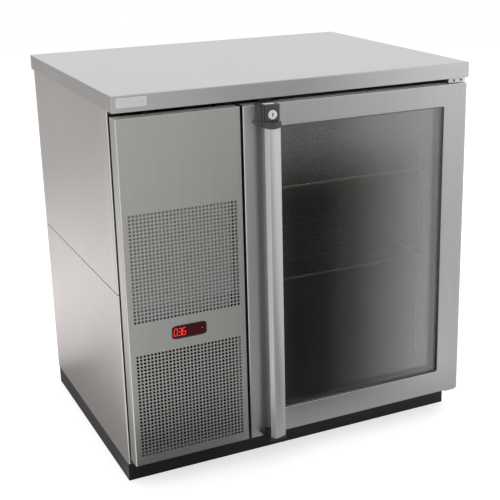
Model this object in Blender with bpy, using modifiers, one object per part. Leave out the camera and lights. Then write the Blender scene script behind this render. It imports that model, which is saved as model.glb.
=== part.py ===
"""Under counter fridge: a steel back bar cabinet with one glass door and a machine bay at its left.

Metres, +Z up, the front faces -Y. The origin is on the floor, under the middle of the whole object.
"""

from math import cos, pi, sin

import bmesh
import bpy
from mathutils import Matrix, Vector

# Clearances
CLEAR = 0.0003           # between pieces that touch
RUN = 0.0005             # between a turning or sliding piece and its hole
THROUGH = 0.005          # how far a cutter runs past the face it cuts
WELD = 0.000001          # points of a filled outline this close become one

# Overall
TOP_WIDTH = 0.914
TOP_DEPTH = 0.711
HEIGHT = 0.950
TOP_EDGE = 0.038         # height of the counter top's folded edge
TOP_SHEET = 0.0015
TOP_CORNER = 0.003
SHEET = 0.0012           # side, back and front sheets
SIDE_OVERHANG = 0.005
BACK_OVERHANG = 0.006
SEAM_HEIGHT = 0.481      # seam between the two sheets of the left side
SEAM_GAP = 0.002
SIDE_RETURN = 0.005      # fold along the left side's front edge

# Plinth and base
PLINTH_HEIGHT = 0.046
PLINTH_SETBACK = 0.066   # from the counter's front edge
PLINTH_INSET = 0.0005    # from the side sheets
PLINTH_BACK = 0.006
PLINTH_BOARD = 0.018
TRAY_SHEET = 0.002

# Door
DOOR_THICK = 0.046
DOOR_SETBACK = 0.0015
DOOR_SIDE = 0.004        # from the counter's right edge to the door's
DOOR_BOTTOM = 0.070
DOOR_TOP_GAP = 0.013
DOOR_ROUND = 0.002
RAIL_SIDE = 0.065
RAIL_TOP = 0.0545
RAIL_BOTTOM = 0.0615
WINDOW_ROUND = 0.012
WINDOW_LIP = 0.005       # thickness of the frame in front of the glass
GLASS_SEAT = 0.014       # how far the glass runs behind the frame
GLASS = 0.004
GLASS_GAP = 0.012
SPACER_WIDTH = 0.012
SEAL_WIDTH = 0.003
GASKET_DEPTH = 0.014     # from the door's back to the cabinet's front
GASKET_INSET = 0.026     # from the door's edge
GASKET_WIDTH = 0.018
GASKET_LAND = 0.002

# Hinges
HINGE_INSET = 0.022      # pivot from the door's right edge
HINGE_DEPTH = 0.0215     # pivot behind the door's front
HINGE_PIN = 0.004        # radius
HINGE_PIN_REACH = 0.020  # length of pin in the door
HINGE_PLATE = 0.004
HINGE_GAP = 0.004        # from the door to the plate
HINGE_LEFT = 0.008       # plate left of the pivot
HINGE_NOSE = 0.012       # plate in front of the pivot

# Handle and lock
HANDLE_INSET = 0.0315    # from the door's left edge
HANDLE_WIDTH = 0.0465
HANDLE_DEPTH = 0.041
HANDLE_WALL = 0.005
HANDLE_CROWN = 0.003     # bulge of the handle's front
NOSE_INSET = 0.0075      # front wall's left end from the foot's
NOSE_FACET = 0.007       # width and depth of the slanted face at that end
NOSE_LIP = 0.0015        # blunt edge behind that face
CAP_HEIGHT = 0.0067
COLLAR_HEIGHT = 0.017
COLLAR_LIP = 0.0025      # how far the collar stands proud of the bar
COLLAR_FOOT = 0.010      # flare of the collar at the door
COLLAR_FOOT_DEPTH = 0.010
LOCK_RISE = 0.005        # housing's top over the door's
LOCK_HEIGHT = 0.053      # housing with its collar
LOCK_WIDTH = 0.0418
LOCK_DEPTH = 0.040
LOCK_RADIUS = 0.0106
LOCK_PROUD = 0.0025
LOCK_LENGTH = 0.020
LOCK_DROP = 0.023        # cylinder's centre below the housing's top
LOCK_SHIFT = 0.0021      # cylinder's centre right of the housing's centre
KEY_SLOT = (0.002, 0.0035, 0.009)
BOLT_SIZE = (0.012, 0.010, 0.036)
BOLT_DROP = 0.0005       # bolt's top below the door's top
KEEPER_WIDTH = 0.030
KEEPER_SHIFT = 0.006     # keeper's centre right of the cylinder's
KEEPER_THICK = 0.0035
KEEPER_FRONT = 0.0005    # behind the door's front
KEEPER_GAP = 0.0025      # over the door's top
KEEPER_PLAY = 0.0015     # in front of the raised bolt

# Left front panel
PANEL_SIDE = 0.005       # from the counter's left edge
PANEL_WIDTH = 0.2915     # the door takes the rest of the front
PANEL_GAP = 0.0065       # to the door
PANEL_DEPTH = 0.035
PANEL_ROUND = 0.002
STUD_RADIUS = 0.004
STUD_INSET = 0.020
STUD_MARGIN = 0.060      # from the panel's top and bottom edges
STUD_GRIP = 0.008        # length of stud past the panel's rear flange
FLANGE = 0.032           # width of the panel's rear flange
POST_WIDTH = 0.034
POST_DEPTH = 0.025
POST_SHEET = 0.002
DISPLAY_WIDTH = 0.086
DISPLAY_HEIGHT = 0.0326
DISPLAY_INSET = 0.105    # from the panel's left edge
DISPLAY_BOTTOM = 0.372
DISPLAY_RECESS = 0.0006
CONTROL_DEPTH = 0.060
CONTROL_BELOW = 0.020
CONTROL_ABOVE = 0.045
CONTROL_GAP = 0.004      # behind the posts

# Cold compartment
BACK_WALL = 0.045
LINER = 0.0012
PILASTER_WIDTH = 0.016
PILASTER_THICK = 0.005
PILASTER_FRONT = 0.060
PILASTER_REAR = 0.090
PILASTER_MARGIN = 0.030
TAB_REACH = 0.012
TAB_HEIGHT = 0.006
SHELF_HEIGHTS = {"shelf_lower": 0.430, "shelf_upper": 0.666}
SHELF_THICK = 0.008
SHELF_SETBACK = 0.022
SHELF_REAR = 0.020
SHELF_SIDE = 0.003       # from the pilasters
SHELF_EDGE = 0.010
SHELF_SLOTS = 20
SHELF_BAR = 0.006
LIGHT_SIDE = 0.036       # from the side walls
LIGHT_DEPTH = 0.020
LIGHT_HEIGHT = 0.012
LIGHT_SETBACK = 0.014

# Evaporator
EVAP_SIDE = 0.056        # from the side walls
EVAP_DEPTH = 0.160
EVAP_HEIGHT = 0.112
EVAP_WALL = 0.0015
EVAP_SLOTS = 4
EVAP_SLOT = (0.070, 0.008)
EVAP_SLOT_PITCH = 0.018
EVAP_SLOT_INSET = 0.060
COIL_MARGIN = 0.020
COIL_DEPTH = 0.055
COIL_HEIGHT = 0.085
FIN = 0.005
EVAP_FINS = 16
EVAP_FAN_RADIUS = 0.042
EVAP_FAN_HOLE = 0.046
EVAP_MOTOR_RADIUS = 0.022
EVAP_MOTOR_LENGTH = 0.034
EVAP_STRAP = 0.016

# Machine bay
COND_SIZE = (0.230, 0.050, 0.270)
COND_SIDE = 0.020        # from the left sheet
COND_SETBACK = 0.090     # from the cabinet's front
COND_FINS = 18
SHROUD_DEPTH = 0.040
SHROUD_HOLE = 0.095
COND_FAN_RADIUS = 0.088
COND_MOTOR_RADIUS = 0.038
COND_MOTOR_LENGTH = 0.050
BRACKET_BAR = 0.003
BRACKET_HEIGHT = 0.024
FAN_BLADES = 5
FAN_SHEET = 0.002
FAN_PITCH = 0.5          # radians
FAN_GAP = 0.004          # from the fan to what it faces
HUB_SHARE = 0.28         # hub's radius over the fan's
BLADE_ROOT_SHARE = 0.6   # blade's inner end over the hub's radius
BLADE_CHORD_SHARE = 1.6  # blade's width over the hub's radius
SHAFT_RADIUS = 0.004
SHAFT_LENGTH = 0.009
COMP_RADIUS = 0.080
COMP_HEIGHT = 0.190
COMP_SHOULDER = 0.030
COMP_STEPS = 4           # faces round each shoulder
COMP_FOOT = 0.012
COMP_BACK = 0.190        # compressor's centre from the back panel
COMP_SIDE = 0.130        # compressor's centre from the left sheet
COVER_SIZE = (0.050, 0.040, 0.060)
COVER_LIFT = 0.070
DRIER_RADIUS = 0.011
DRIER_LENGTH = 0.110
PAN_SIZE = (0.200, 0.080, 0.040)
PAN_WALL = 0.0015
PAN_BACK = 0.012
SUCTION_RADIUS = 0.005
DISCHARGE_RADIUS = 0.004
CAPILLARY_RADIUS = 0.002
DRAIN_RADIUS = 0.007
BEND = 0.016             # bend radius of the lines
BEND_STEPS = 4
LINE_SPREAD = 0.007      # lines either side of their port's middle
LINE_OFF_WALL = 0.040    # lines run this far from the case's left wall
LINE_RISE = 0.050        # discharge line over the condenser
PORT = 0.014             # radius of the lines' port
INLET_SIZE = (0.048, 0.030, 0.028)
INLET_FLANGE = 0.006
INLET_RIGHT = 0.040      # from the left sheet
INLET_BOTTOM = 0.240
LOUVRES = 9
LOUVRE = (0.170, 0.008)
LOUVRE_PITCH = 0.022
LOUVRE_INSET = 0.055
LOUVRE_BOTTOM = 0.520

# Places worked out from the sizes above
LEFT = -TOP_WIDTH / 2
RIGHT = TOP_WIDTH / 2
COLLAR_DEPTH = HANDLE_DEPTH + COLLAR_LIP
FRONT = (COLLAR_DEPTH + CLEAR - DOOR_SETBACK - TOP_DEPTH) / 2
BACK = FRONT + TOP_DEPTH
TOP_UNDER = HEIGHT - TOP_EDGE
SIDE_L = LEFT + SIDE_OVERHANG
SIDE_R = RIGHT - SIDE_OVERHANG
CAB_BACK = BACK - BACK_OVERHANG
PANEL_L = LEFT + PANEL_SIDE
PANEL_R = PANEL_L + PANEL_WIDTH
DOOR_L = PANEL_R + PANEL_GAP
DOOR_R = RIGHT - DOOR_SIDE
DOOR_TOP = TOP_UNDER - DOOR_TOP_GAP
DOOR_FRONT = FRONT + DOOR_SETBACK
DOOR_BACK = DOOR_FRONT + DOOR_THICK
CAB_FRONT = DOOR_BACK + GASKET_DEPTH
PANEL_BACK = DOOR_FRONT + PANEL_DEPTH
INNER_L = SIDE_L + SHEET + CLEAR
INNER_R = SIDE_R - SHEET - CLEAR
INNER_FRONT = CAB_FRONT + SHEET + CLEAR
INNER_BACK = CAB_BACK - SHEET - CLEAR
TRAY_TOP = PLINTH_HEIGHT + CLEAR + TRAY_SHEET
FLOOR = TRAY_TOP + CLEAR
CASE_L = PANEL_R
CASE_TOP = TOP_UNDER - CLEAR
SEAL = GASKET_INSET + GASKET_WIDTH + GASKET_LAND
CAVITY_LOW = Vector((DOOR_L + SEAL, INNER_FRONT, DOOR_BOTTOM + SEAL))
CAVITY_HIGH = Vector((DOOR_R - SEAL, INNER_BACK - BACK_WALL, DOOR_TOP - SEAL))
SKIN = CLEAR + LINER
INSIDE_LOW = CAVITY_LOW + Vector((SKIN, 0, SKIN))
INSIDE_HIGH = CAVITY_HIGH - Vector((SKIN, SKIN, SKIN))
WINDOW = (DOOR_L + RAIL_SIDE, DOOR_BOTTOM + RAIL_BOTTOM, DOOR_R - RAIL_SIDE, DOOR_TOP - RAIL_TOP)
PIVOT = Vector((DOOR_R - HINGE_INSET, DOOR_FRONT + HINGE_DEPTH, 0))
HANDLE_FACE = DOOR_FRONT - CLEAR
HANDLE_L = DOOR_L + HANDLE_INSET
HANDLE_R = HANDLE_L + HANDLE_WIDTH
LOCK_FRONT = HANDLE_FACE - LOCK_DEPTH
LOCK_TOP = DOOR_TOP + LOCK_RISE
LOCK_BOTTOM = LOCK_TOP - LOCK_HEIGHT
LOCK_MID = HANDLE_L + LOCK_WIDTH / 2
LOCK_AXIS = Vector((LOCK_MID + LOCK_SHIFT, LOCK_FRONT, LOCK_TOP - LOCK_DROP))
BOLT_AT = Vector((LOCK_AXIS.x, (DOOR_FRONT + DOOR_BACK) / 2, DOOR_TOP - BOLT_DROP - BOLT_SIZE[2] / 2))
EVAP_MID = (INSIDE_LOW.x + INSIDE_HIGH.x) / 2
EVAP_HIGH = Vector((INSIDE_HIGH.x - EVAP_SIDE, INSIDE_HIGH.y - CLEAR, INSIDE_HIGH.z - CLEAR))
EVAP_LOW = Vector((INSIDE_LOW.x + EVAP_SIDE, EVAP_HIGH.y - EVAP_DEPTH, EVAP_HIGH.z - EVAP_HEIGHT))
COIL_LOW = Vector((EVAP_LOW.x + COIL_MARGIN, EVAP_HIGH.y - EVAP_WALL - CLEAR - COIL_DEPTH,
                   EVAP_HIGH.z - COIL_HEIGHT))
EVAP_FAN_AT = Vector((EVAP_MID, EVAP_LOW.y + EVAP_WALL + FAN_GAP, (EVAP_LOW.z + EVAP_HIGH.z) / 2))
PORT_AT = Vector((CASE_L, COIL_LOW.y + COIL_DEPTH / 2, EVAP_HIGH.z - COIL_HEIGHT / 2))
DRAIN_AT = Vector((CASE_L, EVAP_LOW.y + EVAP_DEPTH / 4, EVAP_LOW.z + EVAP_WALL + DRAIN_RADIUS))
COND_LOW = Vector((INNER_L + COND_SIDE, INNER_FRONT + COND_SETBACK, FLOOR))
COND_HIGH = COND_LOW + Vector(COND_SIZE)
COND_FAN_AT = Vector(((COND_LOW.x + COND_HIGH.x) / 2, COND_HIGH.y + CLEAR + SHROUD_DEPTH + FAN_GAP,
                      (COND_LOW.z + COND_HIGH.z) / 2))
COMP_AT = Vector((INNER_L + COMP_SIDE, INNER_BACK - COMP_BACK, FLOOR))
COMP_TOP = FLOOR + COMP_FOOT + COMP_HEIGHT
STUD_HEIGHTS = (DOOR_BOTTOM + STUD_MARGIN, DOOR_TOP - STUD_MARGIN)
DISPLAY_LOW = Vector((PANEL_L + DISPLAY_INSET, DOOR_FRONT + DISPLAY_RECESS, DISPLAY_BOTTOM))
CONTROL_FRONT = CAB_FRONT + SHEET + CLEAR + POST_DEPTH + CONTROL_GAP
INLET_LOW = Vector((INNER_L + INLET_RIGHT, CAB_BACK - INLET_SIZE[1], INLET_BOTTOM))

AXIS_TURN = {"X": (pi / 2, 0, pi / 2), "Y": (pi / 2, 0, 0), "Z": (0, 0, 0)}


def empty_scene():
    """Remove every object, then make one collection for the parts and one for the cutters."""
    for thing in list(bpy.data.objects):
        bpy.data.objects.remove(thing, do_unlink=True)
    made = []
    for name in ("under_counter_fridge", "cutters"):
        collection = bpy.data.collections.new(name)
        bpy.context.scene.collection.children.link(collection)
        made.append(collection)
    return made


PARTS, CUTTERS = empty_scene()


def finish(name, colour, roughness, metallic=0.0, alpha=1.0):
    """One Principled material."""
    material = bpy.data.materials.new(name)
    material.use_nodes = True
    shader = material.node_tree.nodes["Principled BSDF"]
    shader.inputs["Base Color"].default_value = (*colour, 1.0)
    shader.inputs["Roughness"].default_value = roughness
    shader.inputs["Metallic"].default_value = metallic
    shader.inputs["Alpha"].default_value = alpha
    return material


STEEL = finish("brushed_steel", (0.52, 0.52, 0.51), 0.34, 1.0)
ZINC = finish("zinc_sheet", (0.45, 0.46, 0.47), 0.45, 1.0)
ALUMINIUM = finish("aluminium", (0.68, 0.68, 0.68), 0.28, 1.0)
CHROME = finish("chrome", (0.75, 0.75, 0.75), 0.12, 1.0)
COPPER = finish("copper", (0.72, 0.40, 0.25), 0.35, 1.0)
BLACK_PAINT = finish("black_paint", (0.02, 0.02, 0.02), 0.55)
CHARCOAL = finish("charcoal_plastic", (0.06, 0.06, 0.06), 0.5)
GREY_PLASTIC = finish("grey_plastic", (0.30, 0.30, 0.31), 0.5)
RUBBER = finish("rubber", (0.02, 0.02, 0.02), 0.8)
FOAM_SKIN = finish("case_skin", (0.35, 0.36, 0.37), 0.5)
BOARD = finish("core_board", (0.25, 0.19, 0.13), 0.8)
GLASS_CLEAR = finish("glass", (0.55, 0.60, 0.60), 0.05, 0.0, 0.3)
DISPLAY_BLACK = finish("display", (0.03, 0.005, 0.005), 0.2)
LIGHT_WARM = finish("light", (0.95, 0.85, 0.65), 0.4)
DARK_LINER = finish("liner", (0.30, 0.30, 0.30), 0.4, 1.0)


def joint_empty(name, at, parent=None):
    """An empty on a joint's axis, for the pieces that move about it."""
    empty = bpy.data.objects.new(name, None)
    PARTS.objects.link(empty)
    seat(empty, Vector(at), parent)
    return empty


def world_place(thing):
    """Where an unrotated chain of parents puts an object's origin."""
    place = thing.location.copy()
    while thing.parent:
        thing = thing.parent
        place += thing.location
    return place


def seat(thing, at, parent=None):
    """Put an object at a place in the world, under its parent if it has one."""
    thing.location = at
    if parent:
        thing.parent = parent
        thing.location = at - world_place(parent)


def add(name, mesh, at, material, parent=None, turn=(0, 0, 0)):
    """Link a mesh as a part, or as a cutter where it has no material."""
    thing = bpy.data.objects.new(name, mesh)
    thing.rotation_euler = turn
    seat(thing, Vector(at), parent)
    if material:
        PARTS.objects.link(thing)
        mesh.materials.append(material)
    else:
        CUTTERS.objects.link(thing)
        thing.hide_render = True
        thing.display_type = "WIRE"
    return thing


def mesh_from(bm, name):
    """A mesh of its own from a bmesh."""
    mesh = bpy.data.meshes.new(name)
    bm.to_mesh(mesh)
    bm.free()
    return mesh


def box(name, low, high, material=None, parent=None, bevel=0.0):
    """A box between two corners, with rounded edges where bevel is given."""
    low = Vector(low)
    high = Vector(high)
    bm = bmesh.new()
    bmesh.ops.create_cube(bm, size=1, matrix=Matrix.Diagonal((*(high - low), 1)))
    thing = add(name, mesh_from(bm, name), (low + high) / 2, material, parent)
    if bevel:
        rounding = thing.modifiers.new("Bevel", "BEVEL")
        rounding.width = bevel
        rounding.segments = 2
    return thing


def rod(name, centre, radius, length, axis, material=None, parent=None, sides=24):
    """A cylinder along one axis, shaded smooth on its round side."""
    bm = bmesh.new()
    bmesh.ops.create_cone(bm, cap_ends=True, segments=sides, radius1=radius, radius2=radius, depth=length)
    thing = add(name, mesh_from(bm, name), centre, material, parent, AXIS_TURN[axis])
    smooth(thing)
    return thing


def smooth(thing):
    """Smooth shading that keeps edges sharper than 40 degrees."""
    thing.data.shade_smooth()
    thing.data.set_sharp_from_angle(angle=2 * pi / 9)


def to_mesh(curve_object, material, parent=None):
    """Turn a curve object into a welded mesh object of the same name and place."""
    bpy.context.view_layer.update()
    graph = bpy.context.evaluated_depsgraph_get()
    mesh = bpy.data.meshes.new_from_object(curve_object.evaluated_get(graph))
    bm = bmesh.new()
    bm.from_mesh(mesh)
    bmesh.ops.remove_doubles(bm, verts=bm.verts, dist=WELD)
    bm.to_mesh(mesh)
    bm.free()
    mesh.materials.clear()
    name = curve_object.name
    turn = curve_object.rotation_euler.copy()
    at = curve_object.location.copy()
    bpy.data.objects.remove(curve_object, do_unlink=True)
    return add(name, mesh, at, material, parent, turn)


def loop(curve, points):
    """Add one closed polyline to a flat curve."""
    spline = curve.splines.new("POLY")
    spline.points.add(len(points) - 1)
    for point, (u, v) in zip(spline.points, points):
        point.co = (u, v, 0, 1)
    spline.use_cyclic_u = True


def sheet(name, outline, low, high, axis, material=None, parent=None, holes=()):
    """A flat outline with holes, thickened from low to high along an axis.

    The outline is in (x, y) for axis Z, in (x, z) for axis Y and in (y, z) for axis X.
    """
    curve = bpy.data.curves.new(name, "CURVE")
    curve.dimensions = "2D"
    curve.fill_mode = "BOTH"
    curve.extrude = (high - low) / 2
    loop(curve, outline)
    for hole in holes:
        loop(curve, hole)
    thing = bpy.data.objects.new(name, curve)
    PARTS.objects.link(thing)
    thing.rotation_euler = AXIS_TURN[axis]
    thing.location["XYZ".index(axis)] = (low + high) / 2
    return to_mesh(thing, material, parent)


def rectangle(left, bottom, right, top, corner=0.0, steps=5):
    """The outline of a rectangle, with round corners where corner is given."""
    if not corner:
        return [(left, bottom), (right, bottom), (right, top), (left, top)]
    centres = ((right - corner, top - corner), (left + corner, top - corner),
               (left + corner, bottom + corner), (right - corner, bottom + corner))
    points = []
    for quarter, (u, v) in enumerate(centres):
        for step in range(steps):
            angle = pi / 2 * (quarter + step / (steps - 1))
            points.append((u + corner * cos(angle), v + corner * sin(angle)))
    return points


def grown(edges, amount):
    """Move the four edges of a rectangle out by an amount."""
    left, bottom, right, top = edges
    return (left - amount, bottom - amount, right + amount, top + amount)


def boolean(thing, other, operation):
    """Cut or join another object, which stays hidden as a guide."""
    modifier = thing.modifiers.new(other.name, "BOOLEAN")
    modifier.operation = operation
    modifier.object = other
    return thing


def cut(thing, *cutters):
    """Take the cutters out of an object."""
    for cutter in cutters:
        boolean(thing, cutter, "DIFFERENCE")
    return thing


def join(thing, *others):
    """Fuse other shapes into an object."""
    for other in others:
        boolean(thing, other, "UNION")
    return thing


def rounded_path(corners, radius, steps):
    """Points along straight runs, with an arc of a given radius at each inner corner."""
    corners = [Vector(corner) for corner in corners]
    path = [corners[0]]
    for before, corner, after in zip(corners, corners[1:], corners[2:]):
        back = (before - corner).normalized()
        ahead = (after - corner).normalized()
        half = back.angle(ahead) / 2
        along = radius * cos(half) / sin(half)
        middle = corner + (back + ahead).normalized() * radius / sin(half)
        start = (corner + back * along - middle).normalized()
        end = (corner + ahead * along - middle).normalized()
        for step in range(steps + 1):
            path.append(middle + radius * start.slerp(end, step / steps))
    path.append(corners[-1])
    return path


def pipe(name, corners, radius, material):
    """A round line through given corners, with bends."""
    points = rounded_path(corners, BEND, BEND_STEPS)
    curve = bpy.data.curves.new(name, "CURVE")
    curve.dimensions = "3D"
    curve.bevel_depth = radius
    curve.bevel_resolution = 2
    curve.use_fill_caps = True
    spline = curve.splines.new("POLY")
    spline.points.add(len(points) - 1)
    for point, place in zip(spline.points, points):
        point.co = (*place, 1)
    thing = bpy.data.objects.new(name, curve)
    PARTS.objects.link(thing)
    made = to_mesh(thing, material)
    smooth(made)
    return made


def counter_top():
    """Folded steel top, open underneath, round a core board."""
    skin = sheet("counter_top", rectangle(LEFT, FRONT, RIGHT, BACK, TOP_CORNER), TOP_UNDER, HEIGHT, "Z", STEEL)
    fold = TOP_SHEET
    cut(skin, box("counter_top_hollow", (LEFT + fold, FRONT + fold, TOP_UNDER - THROUGH),
                  (RIGHT - fold, BACK - fold, HEIGHT - fold)))
    gap = TOP_SHEET + CLEAR
    box("top_core", (LEFT + gap, FRONT + gap, TOP_UNDER), (RIGHT - gap, BACK - gap, HEIGHT - gap), BOARD)


def side_sheets():
    """Two sheets with a folded front edge on the left, one plain sheet on the right."""
    outline = [(SIDE_L, CAB_FRONT), (SIDE_L + SIDE_RETURN, CAB_FRONT), (SIDE_L + SIDE_RETURN, CAB_FRONT + SHEET),
               (SIDE_L + SHEET, CAB_FRONT + SHEET), (SIDE_L + SHEET, CAB_BACK), (SIDE_L, CAB_BACK)]
    bottom = PLINTH_HEIGHT + CLEAR
    sheet("left_lower_panel", outline, bottom, SEAM_HEIGHT - SEAM_GAP / 2, "Z", STEEL)
    sheet("left_upper_panel", outline, SEAM_HEIGHT + SEAM_GAP / 2, CASE_TOP, "Z", STEEL)
    box("right_side_panel", (SIDE_R - SHEET, CAB_FRONT, bottom), (SIDE_R, CAB_BACK, CASE_TOP), STEEL)


def back_panel():
    """Back sheet with louvres behind the machine bay and a hole for the power inlet."""
    left = INNER_L + LOUVRE_INSET
    holes = []
    for row in range(LOUVRES):
        bottom = LOUVRE_BOTTOM + row * LOUVRE_PITCH
        holes.append(rectangle(left, bottom, left + LOUVRE[0], bottom + LOUVRE[1]))
    inlet = (INLET_LOW.x, INLET_LOW.z, INLET_LOW.x + INLET_SIZE[0], INLET_LOW.z + INLET_SIZE[2])
    holes.append(rectangle(*grown(inlet, CLEAR)))
    sheet("back_panel", rectangle(INNER_L, PLINTH_HEIGHT + CLEAR, INNER_R, CASE_TOP),
          CAB_BACK - SHEET, CAB_BACK, "Y", ZINC, holes=holes)


def power_inlet():
    """Recessed inlet socket, held by a flange inside the back panel."""
    high = INLET_LOW + Vector(INLET_SIZE)
    rim = INLET_FLANGE
    inlet = box("power_inlet", INLET_LOW, high, CHARCOAL)
    join(inlet, box("power_inlet_flange", (INLET_LOW.x - rim, INNER_BACK - rim, INLET_LOW.z - rim),
                    (high.x + rim, INNER_BACK, high.z + rim)))
    cut(inlet, box("power_inlet_recess", (INLET_LOW.x + rim, CAB_BACK - INLET_SIZE[1] / 2, INLET_LOW.z + rim),
                   (high.x - rim, CAB_BACK + THROUGH, high.z - rim)))


def plinth():
    """Four black boards under the base tray."""
    left = SIDE_L + PLINTH_INSET
    right = SIDE_R - PLINTH_INSET
    front = FRONT + PLINTH_SETBACK
    back = CAB_BACK - PLINTH_BACK
    inner_front = front + PLINTH_BOARD
    inner_back = back - PLINTH_BOARD
    box("plinth_front", (left, front, 0), (right, inner_front, PLINTH_HEIGHT), BLACK_PAINT)
    box("plinth_back", (left, inner_back, 0), (right, back, PLINTH_HEIGHT), BLACK_PAINT)
    for name, start in (("plinth_left", left), ("plinth_right", right - PLINTH_BOARD)):
        box(name, (start, inner_front + CLEAR, 0), (start + PLINTH_BOARD, inner_back - CLEAR, PLINTH_HEIGHT),
            BLACK_PAINT)
    box("base_tray", (INNER_L, INNER_FRONT, PLINTH_HEIGHT + CLEAR), (INNER_R, INNER_BACK, TRAY_TOP), ZINC)


def port_cutters(prefix):
    """Cutters for the line port and the drain through the walls at the evaporator's left."""
    reach = EVAP_LOW.x + COIL_MARGIN / 2 - CASE_L + THROUGH
    cutters = []
    for name, at, radius in (("port", PORT_AT, PORT), ("drain", DRAIN_AT, DRAIN_RADIUS + CLEAR)):
        centre = at + Vector((reach / 2 - THROUGH, 0, 0))
        cutters.append(rod(f"{prefix}_{name}", centre, radius, reach, "X", sides=16))
    return cutters


def insulated_case():
    """Foamed case open at the front, its liner and the steel frame round its mouth."""
    case = box("insulated_body", (CASE_L, INNER_FRONT, FLOOR), (INNER_R, INNER_BACK, CASE_TOP), FOAM_SKIN)
    mouth = Vector((0, THROUGH, 0))
    cut(case, box("case_hollow", CAVITY_LOW - mouth, CAVITY_HIGH), *port_cutters("case"))
    seam = Vector((CLEAR, 0, CLEAR))
    liner = box("inner_liner", CAVITY_LOW + seam, CAVITY_HIGH - Vector((CLEAR, CLEAR, CLEAR)), DARK_LINER)
    cut(liner, box("liner_hollow", INSIDE_LOW - mouth, INSIDE_HIGH), *port_cutters("liner"))
    hole = rectangle(CAVITY_LOW.x, CAVITY_LOW.z, CAVITY_HIGH.x, CAVITY_HIGH.z)
    sheet("face_frame", rectangle(CASE_L, FLOOR, INNER_R, CASE_TOP), CAB_FRONT, CAB_FRONT + SHEET, "Y",
          BLACK_PAINT, holes=[hole])


def stud_rods(name, x, web):
    """Two studs that stand forward of a post and hold the left front panel."""
    tip = PANEL_BACK - SHEET - STUD_GRIP
    root = web + POST_SHEET / 2
    return [rod(f"{name}_stud_{index}", (x, (tip + root) / 2, height), STUD_RADIUS, root - tip, "Y", sides=16)
            for index, height in enumerate(STUD_HEIGHTS)]


def channel(name, left, right, web):
    """An upright folded channel with its web at the front."""
    deep = web + POST_DEPTH
    wall = POST_SHEET
    outline = [(left, web), (right, web), (right, deep), (right - wall, deep), (right - wall, web + wall),
               (left + wall, web + wall), (left + wall, deep), (left, deep)]
    return sheet(name, outline, FLOOR, CASE_TOP, "Z", BLACK_PAINT)


def posts():
    """The machine bay's front post and the rail along the case, each with two studs."""
    web = INNER_FRONT
    post = channel("bay_front_post", INNER_L, INNER_L + POST_WIDTH, web)
    join(post, *stud_rods("post", PANEL_L + STUD_INSET, web))
    rail = channel("mullion_rail", CASE_L - POST_WIDTH, CASE_L - CLEAR, CAB_FRONT)
    join(rail, *stud_rods("rail", PANEL_R - STUD_INSET, CAB_FRONT))


def hinge_brackets():
    """Angle plates on the cabinet's front over and under the door, each with its pin."""
    nose = PIVOT.y - HINGE_NOSE
    root = CAB_FRONT - CLEAR
    wall = root - HINGE_PLATE
    for name, door_edge, way, far in (("upper_hinge_bracket", DOOR_TOP, 1, CASE_TOP),
                                      ("lower_hinge_bracket", DOOR_BOTTOM, -1, FLOOR)):
        near = door_edge + way * HINGE_GAP
        outer = near + way * HINGE_PLATE
        outline = [(nose, near), (root, near), (root, far), (wall, far), (wall, outer), (nose, outer)]
        bracket = sheet(name, outline, PIVOT.x - HINGE_LEFT, DOOR_R, "X", ZINC)
        inner = door_edge - way * HINGE_PIN_REACH
        end = (near + outer) / 2
        pin = rod(f"{name}_pin", (PIVOT.x, PIVOT.y, (inner + end) / 2), HINGE_PIN, abs(end - inner), "Z", sides=16)
        join(bracket, pin)


def pilasters():
    """Four upright strips with tabs under the shelves."""
    bottom = INSIDE_LOW.z + PILASTER_MARGIN
    top = max(SHELF_HEIGHTS.values()) + PILASTER_MARGIN
    ends = {"front": INNER_FRONT + PILASTER_FRONT, "rear": INSIDE_HIGH.y - PILASTER_REAR}
    for side, wall, way in (("left", INSIDE_LOW.x + CLEAR, 1), ("right", INSIDE_HIGH.x - CLEAR, -1)):
        strip = wall + way * PILASTER_THICK
        tip = strip + way * TAB_REACH
        outline = [(wall, bottom), (strip, bottom)]
        for height in sorted(SHELF_HEIGHTS.values()):
            under = height - TAB_HEIGHT
            outline += [(strip, under), (tip, under), (tip, height), (strip, height)]
        outline += [(strip, top), (wall, top)]
        for end, y in ends.items():
            sheet(f"pilaster_{side}_{end}", outline, y - PILASTER_WIDTH / 2, y + PILASTER_WIDTH / 2, "Y", STEEL)


def shelves():
    """Two grid shelves that rest on the pilasters' tabs and lift off them."""
    side = CLEAR + PILASTER_THICK + SHELF_SIDE
    left = INSIDE_LOW.x + side
    right = INSIDE_HIGH.x - side
    front = INNER_FRONT + SHELF_SETBACK
    back = INSIDE_HIGH.y - SHELF_REAR
    pitch = (right - left - 2 * SHELF_EDGE + SHELF_BAR) / SHELF_SLOTS
    slots = []
    for index in range(SHELF_SLOTS):
        start = left + SHELF_EDGE + index * pitch
        slots.append(rectangle(start, front + SHELF_EDGE, start + pitch - SHELF_BAR, back - SHELF_EDGE))
    for name, height in SHELF_HEIGHTS.items():
        lift = joint_empty(f"{name}_lift", ((left + right) / 2, (front + back) / 2, height))
        rest = height + CLEAR
        sheet(name, rectangle(left, front, right, back), rest, rest + SHELF_THICK, "Z", STEEL, lift, slots)


def cabin_light():
    """A light bar under the ceiling, near the door."""
    front = INNER_FRONT + LIGHT_SETBACK
    top = INSIDE_HIGH.z - CLEAR
    box("cabin_light", (INSIDE_LOW.x + LIGHT_SIDE, front, top - LIGHT_HEIGHT),
        (INSIDE_HIGH.x - LIGHT_SIDE, front + LIGHT_DEPTH, top), LIGHT_WARM)


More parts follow.
